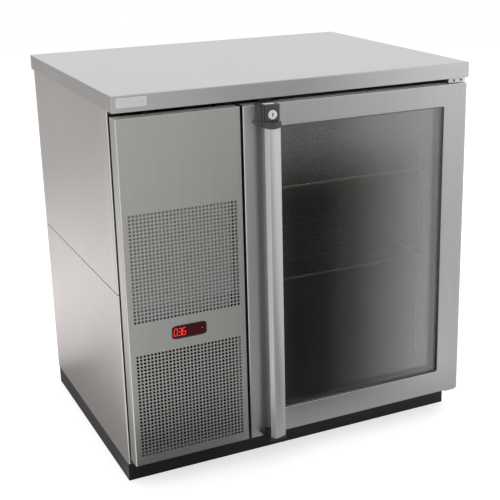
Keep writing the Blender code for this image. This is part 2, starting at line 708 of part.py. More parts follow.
def fin_block(name, low, high, fins, material):
    """A finned coil: a comb of upright fins on a backing of the same thickness."""
    pitch = (high.x - low.x - FIN) / (fins - 1)
    outline = [(low.x, high.y)]
    for index in range(fins):
        left = low.x + index * pitch
        if index:
            outline.append((left, high.y - FIN))
        outline += [(left, low.y), (left + FIN, low.y)]
        if index < fins - 1:
            outline.append((left + FIN, high.y - FIN))
    outline.append((high.x, high.y))
    return sheet(name, outline, low.z, high.z, "Z", material)


def evaporator():
    """Cover under the ceiling with its coil, fan motor and strap."""
    cover = box("evaporator_cover", EVAP_LOW, EVAP_HIGH, GREY_PLASTIC)
    wall = Vector((EVAP_WALL, EVAP_WALL, EVAP_WALL))
    cut(cover, box("cover_hollow", EVAP_LOW + wall, EVAP_HIGH - wall + Vector((0, 0, EVAP_WALL + THROUGH))))
    face = EVAP_LOW.y + EVAP_WALL / 2
    cut(cover, rod("cover_fan_hole", (EVAP_MID, face, EVAP_FAN_AT.z), EVAP_FAN_HOLE, EVAP_WALL + THROUGH, "Y"))
    for side, start in (("left", EVAP_LOW.x + EVAP_SLOT_INSET - EVAP_SLOT[0] / 2),
                        ("right", EVAP_HIGH.x - EVAP_SLOT_INSET - EVAP_SLOT[0] / 2)):
        for row in range(EVAP_SLOTS):
            z = EVAP_FAN_AT.z + (row - (EVAP_SLOTS - 1) / 2) * EVAP_SLOT_PITCH
            cut(cover, box(f"cover_slot_{side}_{row}",
                           (start, EVAP_LOW.y - THROUGH, z - EVAP_SLOT[1] / 2),
                           (start + EVAP_SLOT[0], EVAP_LOW.y + EVAP_WALL + THROUGH, z + EVAP_SLOT[1] / 2)))
    cut(cover, port_cutters("cover")[0])
    coil_high = Vector((EVAP_HIGH.x - COIL_MARGIN, COIL_LOW.y + COIL_DEPTH, EVAP_HIGH.z))
    fin_block("evaporator_coil", COIL_LOW, coil_high, EVAP_FINS, ALUMINIUM)
    start = EVAP_FAN_AT.y + fan_depth(EVAP_FAN_RADIUS) + SHAFT_LENGTH + CLEAR
    middle = start + EVAP_MOTOR_LENGTH / 2
    motor = rod("evaporator_fan_motor", (EVAP_MID, middle, EVAP_FAN_AT.z), EVAP_MOTOR_RADIUS, EVAP_MOTOR_LENGTH,
                "Y", CHARCOAL)
    half = EVAP_STRAP / 2
    join(motor, box("evaporator_fan_strap", (EVAP_MID - half, middle - half, EVAP_FAN_AT.z),
                    (EVAP_MID + half, middle + half, EVAP_HIGH.z)))


def fan_depth(radius):
    """Depth of a fan's hub along its axis."""
    return 2 * radius * HUB_SHARE * sin(FAN_PITCH)


def fan(name, at, radius, parent):
    """Hub, shaft and pitched blades in one piece, turning about Y; at is the middle of its front."""
    depth = fan_depth(radius)
    hub_radius = radius * HUB_SHARE
    middle = Vector(at) + Vector((0, depth / 2, 0))
    hub = rod(name, middle, hub_radius, depth, "Y", CHARCOAL, parent)
    shaft_end = middle.y + depth / 2 + SHAFT_LENGTH
    join(hub, rod(f"{name}_shaft", (at[0], (middle.y + shaft_end) / 2, at[2]), SHAFT_RADIUS,
                  shaft_end - middle.y, "Y", sides=16))
    inner = hub_radius * BLADE_ROOT_SHARE
    chord = hub_radius * BLADE_CHORD_SHARE
    for index in range(FAN_BLADES):
        bm = bmesh.new()
        size = Matrix.Diagonal((radius - inner, FAN_SHEET, chord, 1))
        pitched = Matrix.Rotation(pi / 2 - FAN_PITCH, 4, "X")
        outward = Matrix.Translation(((radius + inner) / 2, 0, 0))
        bmesh.ops.create_cube(bm, size=1, matrix=outward @ pitched @ size)
        turn = (0, 2 * pi * index / FAN_BLADES, 0)
        join(hub, add(f"{name}_blade_{index}", mesh_from(bm, name), middle, None, None, turn))
    return hub


def condenser():
    """Finned coil, shroud, fan motor and the bracket that carries it."""
    fin_block("condenser_coil", COND_LOW, COND_HIGH, COND_FINS, ALUMINIUM)
    low = Vector((COND_LOW.x, COND_HIGH.y + CLEAR, FLOOR))
    back = low.y + SHROUD_DEPTH
    shroud = box("fan_shroud", low, (COND_HIGH.x, back, COND_HIGH.z), ZINC)
    cut(shroud, rod("shroud_hole", (COND_FAN_AT.x, (low.y + back) / 2, COND_FAN_AT.z), SHROUD_HOLE,
                    SHROUD_DEPTH + 2 * THROUGH, "Y", sides=32))
    motor_front = COND_FAN_AT.y + fan_depth(COND_FAN_RADIUS) + SHAFT_LENGTH + CLEAR
    motor_back = motor_front + COND_MOTOR_LENGTH
    rod("condenser_fan_motor", (COND_FAN_AT.x, (motor_front + motor_back) / 2, COND_FAN_AT.z), COND_MOTOR_RADIUS,
        COND_MOTOR_LENGTH, "Y", CHARCOAL)
    leg = back + CLEAR
    inner = motor_back + CLEAR
    outer = inner + BRACKET_BAR
    left = COND_LOW.x
    right = COND_HIGH.x
    outline = [(left, leg), (left + BRACKET_BAR, leg), (left + BRACKET_BAR, inner), (right - BRACKET_BAR, inner),
               (right - BRACKET_BAR, leg), (right, leg), (right, outer), (left, outer)]
    half = BRACKET_HEIGHT / 2
    sheet("condenser_fan_bracket", outline, COND_FAN_AT.z - half, COND_FAN_AT.z + half, "Z", ZINC)


def compressor():
    """Sealed compressor with a foot plate, and the terminal cover on its side."""
    radius = COMP_RADIUS
    shoulder = COMP_SHOULDER
    profile = [(0, COMP_HEIGHT)]
    for start, height in ((pi / 2, COMP_HEIGHT - shoulder), (0, shoulder)):
        for step in range(COMP_STEPS + 1):
            angle = start - pi / 2 * step / COMP_STEPS
            profile.append((radius - shoulder + shoulder * cos(angle), height + shoulder * sin(angle)))
    profile.append((0, 0))
    bm = bmesh.new()
    verts = [bm.verts.new((x, 0, z)) for x, z in profile]
    for first, second in zip(verts, verts[1:]):
        bm.edges.new((first, second))
    foot_top = COMP_AT + Vector((0, 0, COMP_FOOT))
    shell = add("compressor", mesh_from(bm, "compressor"), foot_top - Vector((0, 0, CLEAR)), BLACK_PAINT)
    screw = shell.modifiers.new("Screw", "SCREW")
    screw.steps = 32
    screw.render_steps = 32
    screw.use_merge_vertices = True
    screw.merge_threshold = WELD
    half = Vector((radius, radius, 0))
    join(shell, box("compressor_foot", COMP_AT - half, foot_top + half))
    lift = COMP_AT.z + COMP_FOOT + COVER_LIFT
    right = COMP_AT.x + COVER_SIZE[0] / 2
    near = COMP_AT.y - radius - COVER_SIZE[1] / 2
    cover = box("compressor_terminal_cover", (right - COVER_SIZE[0], near, lift),
                (right, near + COVER_SIZE[1], lift + COVER_SIZE[2]), CHARCOAL)
    cut(cover, rod("terminal_cover_seat", (COMP_AT.x, COMP_AT.y, lift), radius + CLEAR, 2 * COMP_HEIGHT, "Z",
                   sides=32))


def refrigerant_lines():
    """Drier, capillary, suction and discharge lines between the compressor and the two coils."""
    drier = Vector((COND_HIGH.x - 2 * DRIER_RADIUS, COND_HIGH.y - FIN / 2))
    top = COND_HIGH.z + CLEAR + DRIER_LENGTH
    rod("filter_drier", (drier.x, drier.y, top - DRIER_LENGTH / 2), DRIER_RADIUS, DRIER_LENGTH, "Z", COPPER, sides=16)
    run = CASE_L - LINE_OFF_WALL
    coil = COIL_LOW.x - CLEAR
    y = PORT_AT.y + LINE_SPREAD
    pipe("capillary_line", [(drier.x, drier.y, top + CLEAR), (drier.x, drier.y, PORT_AT.z),
                            (drier.x, PORT_AT.y - LINE_SPREAD, PORT_AT.z),
                            (coil, PORT_AT.y - LINE_SPREAD, PORT_AT.z)], CAPILLARY_RADIUS, COPPER)
    pipe("suction_line", [(coil, y, PORT_AT.z), (run, y, PORT_AT.z), (run, y, COMP_TOP + LINE_RISE),
                          (run, COMP_AT.y, COMP_TOP + LINE_RISE),
                          (COMP_AT.x + COMP_SHOULDER, COMP_AT.y, COMP_TOP + LINE_RISE),
                          (COMP_AT.x + COMP_SHOULDER, COMP_AT.y, COMP_TOP)], SUCTION_RADIUS, COPPER)
    over = COND_HIGH.z + LINE_RISE
    x = COMP_AT.x - COMP_SHOULDER
    far = COND_HIGH.y - FIN / 2
    pipe("discharge_line", [(x, COMP_AT.y, COMP_TOP), (x, COMP_AT.y, over), (x, far, over),
                            (x, far, COND_HIGH.z + CLEAR)], DISCHARGE_RADIUS, COPPER)


def condensate():
    """Open pan on the base tray and the tube that drains the evaporator cover into it."""
    left = CASE_L - CLEAR - PAN_SIZE[0]
    back = INNER_BACK - PAN_BACK
    low = Vector((left, back - PAN_SIZE[1], FLOOR))
    high = low + Vector(PAN_SIZE)
    wall = Vector((PAN_WALL, PAN_WALL, PAN_WALL))
    pan = box("condensate_pan", low, high, GREY_PLASTIC)
    cut(pan, box("pan_hollow", low + wall, high - wall + Vector((0, 0, PAN_WALL + THROUGH))))
    run = CASE_L - LINE_OFF_WALL / 2
    into = (low.y + high.y) / 2
    pipe("drain_tube", [(EVAP_LOW.x - CLEAR, DRAIN_AT.y, DRAIN_AT.z), (run, DRAIN_AT.y, DRAIN_AT.z),
                        (run, into, DRAIN_AT.z), (run, into, FLOOR + PAN_WALL + CLEAR)], DRAIN_RADIUS, GREY_PLASTIC)


def controls():
    """Control box on the case's wall, with the display that shows through the front panel."""
    high = DISPLAY_LOW + Vector((DISPLAY_WIDTH, 0, DISPLAY_HEIGHT))
    box("display_unit", DISPLAY_LOW, (high.x, CONTROL_FRONT - CLEAR, high.z), DISPLAY_BLACK)
    box("control_box", (DISPLAY_LOW.x, CONTROL_FRONT, DISPLAY_LOW.z - CONTROL_BELOW),
        (CASE_L - CLEAR, CONTROL_FRONT + CONTROL_DEPTH, high.z + CONTROL_ABOVE), CHARCOAL)


def front_panel():
    """Pan-shaped panel over the machine bay, which pulls forward off its studs."""
    pull = joint_empty("grille_panel_pull", ((PANEL_L + PANEL_R) / 2, DOOR_FRONT, (DOOR_BOTTOM + DOOR_TOP) / 2))
    low = Vector((PANEL_L, DOOR_FRONT, DOOR_BOTTOM))
    high = Vector((PANEL_R, PANEL_BACK, DOOR_TOP))
    wall = Vector((SHEET, SHEET, SHEET))
    pan = box("grille_panel", low, high, STEEL, pull, PANEL_ROUND)
    flange = Vector((FLANGE, 0, FLANGE))
    cut(pan, box("panel_hollow", low + wall, high - wall),
        box("panel_rear_opening", low + flange + Vector((0, PANEL_DEPTH / 2, 0)),
            high - flange + Vector((0, THROUGH, 0))))
    gap = Vector((CLEAR, 0, CLEAR))
    window_high = DISPLAY_LOW + Vector((DISPLAY_WIDTH, PANEL_DEPTH / 2, DISPLAY_HEIGHT))
    cut(pan, box("display_window", DISPLAY_LOW - gap - Vector((0, THROUGH, 0)), window_high + gap))
    for x in (PANEL_L + STUD_INSET, PANEL_R - STUD_INSET):
        for z in STUD_HEIGHTS:
            cut(pan, rod("stud_hole", (x, PANEL_BACK, z), STUD_RADIUS + RUN, 2 * THROUGH, "Y", sides=16))


def door():
    """Door frame, double glass, seals and inner trim, hung on the hinge pins."""
    hinge = joint_empty("door_hinge", PIVOT)
    frame = box("door_frame", (DOOR_L, DOOR_FRONT, DOOR_BOTTOM), (DOOR_R, DOOR_BACK, DOOR_TOP), STEEL, hinge,
                DOOR_ROUND)
    for name, edge, way in (("upper", DOOR_TOP, -1), ("lower", DOOR_BOTTOM, 1)):
        end = edge + way * (HINGE_PIN_REACH + RUN)
        start = edge - way * THROUGH
        cut(frame, rod(f"{name}_pin_hole", (PIVOT.x, PIVOT.y, (start + end) / 2), HINGE_PIN + RUN, abs(end - start),
                       "Z", sides=16))
    half = Vector(BOLT_SIZE) / 2 + Vector((RUN, RUN, RUN))
    cut(frame, box("bolt_pocket", BOLT_AT - half, BOLT_AT + half + Vector((0, 0, THROUGH))))
    seat_edges = grown(WINDOW, GLASS_SEAT)
    lip = DOOR_FRONT + WINDOW_LIP
    cut(frame, sheet("rebate_cut", rectangle(*seat_edges), lip, DOOR_BACK + THROUGH, "Y"),
        sheet("window_cut", rectangle(*WINDOW, WINDOW_ROUND), DOOR_FRONT - THROUGH, lip + THROUGH, "Y"))
    depth = lip + CLEAR
    pane = grown(seat_edges, -CLEAR)
    inner = grown(WINDOW, GLASS_SEAT - SPACER_WIDTH)
    for name, thick, material, hole in (("glass_outer", GLASS, GLASS_CLEAR, None),
                                        ("glass_spacer", GLASS_GAP, CHARCOAL, inner),
                                        ("glass_inner", GLASS, GLASS_CLEAR, None)):
        holes = [rectangle(*hole)] if hole else []
        sheet(name, rectangle(*pane), depth, depth + thick, "Y", material, hinge, holes)
        depth += thick + CLEAR
    sheet("door_inner_trim", rectangle(*pane), depth, DOOR_BACK, "Y", CHARCOAL, hinge, [rectangle(*WINDOW)])
    bead = grown(WINDOW, -CLEAR)
    sheet("glazing_seal", rectangle(*bead, WINDOW_ROUND), lip - SEAL_WIDTH, lip, "Y", RUBBER, hinge,
          [rectangle(*grown(bead, -SEAL_WIDTH), WINDOW_ROUND - SEAL_WIDTH)])
    ring = (DOOR_L + GASKET_INSET, DOOR_BOTTOM + GASKET_INSET, DOOR_R - GASKET_INSET, DOOR_TOP - GASKET_INSET)
    sheet("door_gasket", rectangle(*ring), DOOR_BACK + CLEAR, CAB_FRONT - CLEAR, "Y", RUBBER, hinge,
          [rectangle(*grown(ring, -GASKET_WIDTH))])
    return hinge


def crown(left, right, edge, bulge, steps=8):
    """Points from right to left along a front that bulges forward of its edges."""
    points = []
    for step in range(steps + 1):
        share = step / steps
        points.append((right + (left - right) * share, edge - bulge * 4 * share * (1 - share)))
    return points


def collar_outline():
    """Plan of the pieces that cap the handle: a bulged front and a foot that flares at the door."""
    left = HANDLE_L
    right = HANDLE_R + CLEAR
    front = HANDLE_FACE - COLLAR_DEPTH + HANDLE_CROWN
    foot = HANDLE_FACE - COLLAR_FOOT_DEPTH
    return [(left - COLLAR_FOOT, HANDLE_FACE), (right, HANDLE_FACE), *crown(left, right, front, HANDLE_CROWN),
            (left, foot)]


def handle(hinge):
    """Full-height pull with a finger gap at its left, and the cap on its lower end."""
    front = HANDLE_FACE - HANDLE_DEPTH + HANDLE_CROWN
    wall = HANDLE_WALL
    base = HANDLE_FACE - wall
    nose = HANDLE_L + NOSE_INSET
    tip = front + NOSE_FACET
    outline = [(HANDLE_L, HANDLE_FACE), (HANDLE_R, HANDLE_FACE),
               *crown(nose + NOSE_FACET, HANDLE_R, front, HANDLE_CROWN), (nose, tip), (nose, tip + NOSE_LIP),
               (HANDLE_R - wall, tip + NOSE_LIP), (HANDLE_R - wall, base), (HANDLE_L, base)]
    cap_top = DOOR_BOTTOM + CAP_HEIGHT
    bar = sheet("handle_bar", outline, cap_top + CLEAR, LOCK_BOTTOM - CLEAR, "Z", ALUMINIUM, hinge)
    smooth(bar)
    sheet("handle_bottom_cap", collar_outline(), DOOR_BOTTOM, cap_top, "Z", CHARCOAL, hinge)


def lock(hinge):
    """Lock housing on the handle's upper end, with its cylinder, bolt and keeper."""
    housing = sheet("lock_housing", collar_outline(), LOCK_BOTTOM, LOCK_BOTTOM + COLLAR_HEIGHT, "Z", CHARCOAL, hinge)
    half = LOCK_WIDTH / 2
    join(housing, box("lock_block", (LOCK_MID - half + CLEAR, LOCK_FRONT, LOCK_BOTTOM + COLLAR_HEIGHT / 2),
                      (LOCK_MID + half, HANDLE_FACE, LOCK_TOP)))
    deep = LOCK_LENGTH - LOCK_PROUD
    cut(housing, rod("lock_bore", LOCK_AXIS + Vector((0, (deep + RUN - THROUGH) / 2, 0)), LOCK_RADIUS + RUN,
                     deep + RUN + THROUGH, "Y", sides=32))
    turn = joint_empty("lock_turn", LOCK_AXIS, hinge)
    face = LOCK_FRONT - LOCK_PROUD
    barrel = rod("lock_cylinder", (LOCK_AXIS.x, face + LOCK_LENGTH / 2, LOCK_AXIS.z), LOCK_RADIUS, LOCK_LENGTH, "Y",
                 CHROME, turn, 32)
    slot = Vector(KEY_SLOT) / 2
    middle = Vector((LOCK_AXIS.x, face, LOCK_AXIS.z))
    cut(barrel, box("key_slot", middle - slot, middle + slot))
    slide = joint_empty("lock_bolt_slide", BOLT_AT, hinge)
    size = Vector(BOLT_SIZE) / 2
    box("lock_bolt", BOLT_AT - size, BOLT_AT + size, CHROME, slide)
    front = DOOR_FRONT + KEEPER_FRONT
    back = BOLT_AT.y - size.y - KEEPER_PLAY
    low = DOOR_TOP + KEEPER_GAP
    wall = KEEPER_THICK
    outline = [(front, low), (back, low), (back, CASE_TOP), (back - wall, CASE_TOP), (back - wall, low + wall),
               (front, low + wall)]
    left = LOCK_AXIS.x + KEEPER_SHIFT - KEEPER_WIDTH / 2
    sheet("lock_keeper", outline, left, left + KEEPER_WIDTH, "X", ALUMINIUM)


def fans():
    """The two fans, each on the axis of its motor."""
    for name, at, radius in (("condenser_fan", COND_FAN_AT, COND_FAN_RADIUS),
                             ("evaporator_fan", EVAP_FAN_AT, EVAP_FAN_RADIUS)):
        fan(name, at, radius, joint_empty(f"{name}_spin", at))


def build():
    """Build every piece of the cabinet, then the pieces that move."""
    counter_top()
    side_sheets()
    back_panel()
    power_inlet()
    plinth()
    insulated_case()
    posts()
    hinge_brackets()
    pilasters()
    shelves()
    cabin_light()
    evaporator()
    condenser()
    compressor()
    refrigerant_lines()
    condensate()
    controls()
    front_panel()
    hinge = door()
    handle(hinge)
    lock(hinge)
    fans()


build()
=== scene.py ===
"""Look of the under counter fridge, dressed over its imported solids.

Metres, +Z up, and the front faces -Y. Each sub-assembly is a class that works its
surfaces out as whole arrays and gives them their finishes.
"""
import logging
import math
from abc import ABC, abstractmethod
from dataclasses import dataclass
from enum import Enum
from typing import Any, Iterable, Mapping, Optional, Sequence

import bmesh
import bpy
import numpy as np
from mathutils import Matrix, Vector


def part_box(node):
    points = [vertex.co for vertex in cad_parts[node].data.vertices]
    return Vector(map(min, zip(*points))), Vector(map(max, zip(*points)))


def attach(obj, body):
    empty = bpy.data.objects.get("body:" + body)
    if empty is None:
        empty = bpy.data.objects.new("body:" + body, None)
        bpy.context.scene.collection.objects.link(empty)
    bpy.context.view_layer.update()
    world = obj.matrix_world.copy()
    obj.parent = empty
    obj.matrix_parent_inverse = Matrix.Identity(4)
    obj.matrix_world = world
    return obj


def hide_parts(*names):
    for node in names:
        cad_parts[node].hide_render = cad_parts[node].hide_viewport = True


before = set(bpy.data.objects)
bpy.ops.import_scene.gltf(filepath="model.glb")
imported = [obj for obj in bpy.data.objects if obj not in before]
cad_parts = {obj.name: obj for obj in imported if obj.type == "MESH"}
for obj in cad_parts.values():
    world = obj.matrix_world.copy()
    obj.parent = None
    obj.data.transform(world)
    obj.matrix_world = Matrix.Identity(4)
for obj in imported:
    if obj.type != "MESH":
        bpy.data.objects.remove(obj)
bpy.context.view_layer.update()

LOG = logging.getLogger("fridge")
Array = np.ndarray
Socket = bpy.types.NodeSocket
Colour = tuple[float, float, float]
Span = tuple[float, float]
Tones = tuple[tuple[float, float], ...]

WHITE: Colour = (1.0, 1.0, 1.0)
TINY = 1e-9
MERGE_DISTANCE, FLAT_DISTANCE = 1e-6, 1e-7
STRIP_FRONT, STRIP_BACK = 0.0090, 0.0260
STRIP_CORNER, STRIP_THICK, STRIP_END = 0.0010, 0.0004, 0.004


class Axis(Enum):
    """One of the three directions of the frame."""

    X = 0
    Y = 1
    Z = 2


class Grain(Enum):
    """Which way brush lines run: the pattern's repeats per metre along X, Y and Z."""

    ALONG_X = (5.0, 900.0, 900.0)
    ALONG_Z = (900.0, 900.0, 5.0)
    EVEN = (260.0, 260.0, 260.0)


class Value:
    """A socket that carries a number; its operators add Math nodes to the tree."""

    def __init__(self, graph: "Graph", socket: Socket) -> None:
        """Wrap one output socket of a graph."""
        self.graph = graph
        self.socket = socket

    def _math(self, operation: str, first: Any, second: Any) -> "Value":
        """Add a Math node for an operation on two Values or numbers."""
        sockets = {0: first, 1: second}
        return self.graph.value("ShaderNodeMath", {"operation": operation}, sockets)

    def __add__(self, other: Any) -> "Value":
        """Sum."""
        return self._math("ADD", self, other)

    def __radd__(self, other: Any) -> "Value":
        """Sum, number first."""
        return self._math("ADD", other, self)

    def __sub__(self, other: Any) -> "Value":
        """Difference."""
        return self._math("SUBTRACT", self, other)

    def __rsub__(self, other: Any) -> "Value":
        """Difference, number first."""
        return self._math("SUBTRACT", other, self)

    def __mul__(self, other: Any) -> "Value":
        """Product."""
        return self._math("MULTIPLY", self, other)

    def __rmul__(self, other: Any) -> "Value":
        """Product, number first."""
        return self._math("MULTIPLY", other, self)

    def __truediv__(self, other: Any) -> "Value":
        """Quotient."""
        return self._math("DIVIDE", self, other)

    def __rtruediv__(self, other: Any) -> "Value":
        """Quotient, number first."""
        return self._math("DIVIDE", other, self)

    def __pow__(self, other: Any) -> "Value":
        """Power."""
        return self._math("POWER", self, other)

    def at_least(self, other: Any) -> "Value":
        """The larger of two values."""
        return self._math("MAXIMUM", self, other)

    def size(self) -> "Value":
        """The value without its sign."""
        return self._math("ABSOLUTE", self, 0.0)

    def rise(self, low: float, high: float) -> "Value":
        """Smooth step from 0 at low to 1 at high."""
        sockets = {"Value": self, "From Min": low, "From Max": high}
        return self.graph.value("ShaderNodeMapRange", {"interpolation_type": "SMOOTHSTEP"}, sockets)


class Graph:
    """A node tree that is written as expressions."""

    MIX_FACTOR, MIX_A, MIX_B, MIX_RESULT = 0, 6, 7, 2

    def __init__(self, tree: bpy.types.NodeTree) -> None:
        """Take over a tree and empty it."""
        self.tree = tree
        tree.nodes.clear()

    def node(
        self,
        kind: str,
        settings: Optional[Mapping[str, Any]] = None,
        sockets: Optional[Mapping[Any, Any]] = None,
    ) -> bpy.types.Node:
        """Add a node.

        Args:
            kind: the node's type.
            settings: properties that are set first; "stops" are a ramp's places and colours.
            sockets: values or links of the inputs, by name or number.

        Returns:
            The new node.
        """
        made = self.tree.nodes.new(kind)
        for name, value in (settings or {}).items():
            if name == "stops":
                self._stops(made.color_ramp, value)
            else:
                setattr(made, name, value)
        for key, value in (sockets or {}).items():
            self._feed(made.inputs[key], value)
        return made

    def value(
        self, kind: str, settings: Mapping[str, Any], sockets: Mapping[Any, Any], output: Any = 0
    ) -> Value:
        """The number that a new node gives."""
        return Value(self, self.node(kind, settings, sockets).outputs[output])

    def _stops(self, ramp: bpy.types.ColorRamp, stops: Sequence[tuple[float, Colour]]) -> None:
        """Give a ramp its places and colours.

        Args:
            ramp: the ramp of a new node.
            stops: rows of (place, colour) in order.
        """
        while len(ramp.elements) < len(stops):
            ramp.elements.new(1.0)
        for element, (place, colour) in zip(ramp.elements, stops):
            element.position = place
            element.color = (*colour, 1.0)

    def _feed(self, socket: Socket, value: Any) -> None:
        """Link or set one input.

        Args:
            socket: the input.
            value: a Value or socket to link, or a number or colour to set.
        """
        if isinstance(value, Value):
            value = value.socket
        if isinstance(value, Socket):
            self.tree.links.new(value, socket)
        elif socket.type == "RGBA" and len(value) == 3:
            socket.default_value = (*value, 1.0)
        else:
            socket.default_value = value

    def place(self, scale: Sequence[float]) -> Socket:
        """Object coordinates times a scale."""
        source = self.node("ShaderNodeTexCoord").outputs["Object"]
        return self.node("ShaderNodeMapping", {}, {"Vector": source, "Scale": scale}).outputs[0]

    def split(self, vector: Socket) -> list[Value]:
        """The three parts of a vector."""
        parts = self.node("ShaderNodeSeparateXYZ", {}, {0: vector})
        return [Value(self, part) for part in parts.outputs]

    def noise(self, scale: Sequence[float], detail: float = 2.0) -> Value:
        """Cloudy noise from 0 to 1 with so many repeats per metre along each axis."""
        sockets = {"Vector": self.place(scale), "Scale": 1.0, "Detail": detail}
        return self.value("ShaderNodeTexNoise", {}, sockets)

    def cells(self, scale: float) -> Value:
        """A mosaic of crystals.

        Args:
            scale: cells per metre.

        Returns:
            A grey level for each cell.
        """
        sockets = {"Vector": self.place((scale,) * 3), "Scale": 1.0}
        colour = self.node("ShaderNodeTexVoronoi", {}, sockets).outputs["Color"]
        return self.value("ShaderNodeSeparateColor", {}, {0: colour})

    def mix(self, factor: Any, first: Any, second: Any) -> Socket:
        """Colour that goes from first to second as factor goes from 0 to 1."""
        sockets = {self.MIX_FACTOR: factor, self.MIX_A: first, self.MIX_B: second}
        return self.node("ShaderNodeMix", {"data_type": "RGBA"}, sockets).outputs[self.MIX_RESULT]

    def ramp(self, factor: Value, tones: Tones) -> Socket:
        """Greys along a line.

        Args:
            factor: the place on the line.
            tones: rows of (place, grey) in order.

        Returns:
            The grey at that place.
        """
        low, high = tones[0][0], tones[-1][0]
        stops = [((place - low) / (high - low), (grey,) * 3) for place, grey in tones]
        share = (factor - low) * (1.0 / (high - low))
        return self.node("ShaderNodeValToRGB", {"stops": stops}, {0: share}).outputs[0]

    def bump(self, height: Value, strength: float, distance: float) -> Socket:
        """Normal that is tilted by the slope of a height."""
        sockets = {"Height": height, "Strength": strength, "Distance": distance}
        return self.node("ShaderNodeBump", {}, sockets).outputs[0]

    def principled(self, sockets: Mapping[str, Any]) -> Socket:
        """The main surface shader."""
        return self.node("ShaderNodeBsdfPrincipled", {}, sockets).outputs[0]

    def clear(self, tint: Colour = WHITE) -> Socket:
        """Shader that lets light through."""
        return self.node("ShaderNodeBsdfTransparent", {}, {"Color": tint}).outputs[0]

    def glow(self, colour: Any, strength: Any) -> Socket:
        """Shader that gives light."""
        sockets = {"Color": colour, "Strength": strength}
        return self.node("ShaderNodeEmission", {}, sockets).outputs[0]

    def blend(self, factor: Any, first: Socket, second: Socket) -> Socket:
        """Shader that goes from first to second as factor goes from 0 to 1."""
        return self.node("ShaderNodeMixShader", {}, {0: factor, 1: first, 2: second}).outputs[0]

    def rays(self) -> tuple[Value, Value]:
        """Kinds of rays.

        Returns:
            Share of rays that come straight or through glass, and that come off a gloss.
        """
        path = self.node("ShaderNodeLightPath").outputs
        straight, through, gloss = (
            Value(self, path[f"Is {kind} Ray"]) for kind in ("Camera", "Transmission", "Glossy")
        )
        return straight.at_least(through), gloss


def shade(colour: Colour, amount: float) -> Colour:
    """A colour made lighter or darker by a factor."""
    return tuple(min(1.0, channel * amount) for channel in colour)


class Finish(ABC):
    """A surface finish that makes its material once."""

    made: dict[str, bpy.types.Material] = {}
    name: str

    def material(self) -> bpy.types.Material:
        """Make the material, or find it.

        Returns:
            The finish as a material.
        """
        if self.name not in Finish.made:
            material = bpy.data.materials.new(self.name)
            material.use_nodes = True
            graph = Graph(material.node_tree)
            graph.node("ShaderNodeOutputMaterial", {}, {"Surface": self.shader(graph)})
            Finish.made[self.name] = material
        return Finish.made[self.name]

    @abstractmethod
    def shader(self, graph: Graph) -> Socket:
        """Add the finish to a tree.

        Args:
            graph: the material's tree.

        Returns:
            The shader's output.
        """


@dataclass(frozen=True)
class Brushed(Finish):
    """Bare metal: brush lines, faint longer streaks, hand smears and painted shade in a hollow."""

    name: str
    colour: Colour
    roughness: float
    grain: Grain
    contrast: float = 0.10
    smear: float = 0.12
    metallic: float = 1.0
    # Painted shade: wall, start and end of a hollow that is darkened towards its deep end.
    hollow: Optional[tuple[float, float, float]] = None
    hollow_shade_tone: float = 0.42
    hollow_shade_soft: float = 0.001

    def inside(self, graph: Graph) -> Value:
        """How much painted shade a spot gets: its rise along Y, left of a wall along X.

        Args:
            graph: the material's tree.

        Returns:
            0 outside the hollow to 1, the full painted shade, deep in it.
        """
        wall, start, end = self.hollow
        across, along, _ = graph.split(graph.place((1, 1, 1)))
        soft = self.hollow_shade_soft
        return along.rise(start, end) * (1.0 - across.rise(wall - soft, wall + soft))

    def shader(self, graph: Graph) -> Socket:
        """Lines and streaks set the tone, smears and lines the roughness, lines the relief.

        Args:
            graph: the material's tree.

        Returns:
            The shader's output.
        """
        lines = graph.noise(self.grain.value, 3.0)
        streaks = graph.noise([0.12 * repeats for repeats in self.grain.value], 2.0)
        smears = graph.noise((4.0, 4.0, 4.0), 4.0)
        tone = 0.55 * lines + 0.45 * streaks
        low, high = (shade(self.colour, 1.0 + side * self.contrast) for side in (-1.0, 1.0))
        roughness = self.roughness + self.smear * (smears - 0.5) + 0.10 * (lines - 0.5)
        colour = graph.mix(tone, low, high)
        # Painted shade: the hollow's colour is darkened towards its deep end.
        if self.hollow:
            colour = graph.mix(self.inside(graph), colour, shade(self.colour, self.hollow_shade_tone))
        return graph.principled({
            "Base Color": colour,
            "Metallic": self.metallic,
            "Roughness": roughness.at_least(0.05),
            "Normal": graph.bump(lines, 0.10, 0.0002),
        })


@dataclass(frozen=True)
class Spangled(Finish):
    """Zinc coated sheet: a mosaic of grey crystals."""

    name: str
    colour: Colour
    roughness: float = 0.42
    crystals: float = 90.0

    def shader(self, graph: Graph) -> Socket:
        """Each crystal has its own grey and its own roughness.

        Args:
            graph: the material's tree.

        Returns:
            The shader's output.
        """
        crystal = graph.cells(self.crystals)
        clouds = graph.noise((9.0, 9.0, 9.0), 3.0)
        tone = 0.6 * crystal + 0.4 * clouds
        return graph.principled({
            "Base Color": graph.mix(tone, shade(self.colour, 0.82), shade(self.colour, 1.15)),
            "Metallic": 1.0,
            "Roughness": self.roughness + 0.16 * (crystal - 0.5),
            "Normal": graph.bump(clouds, 0.05, 0.001),
        })


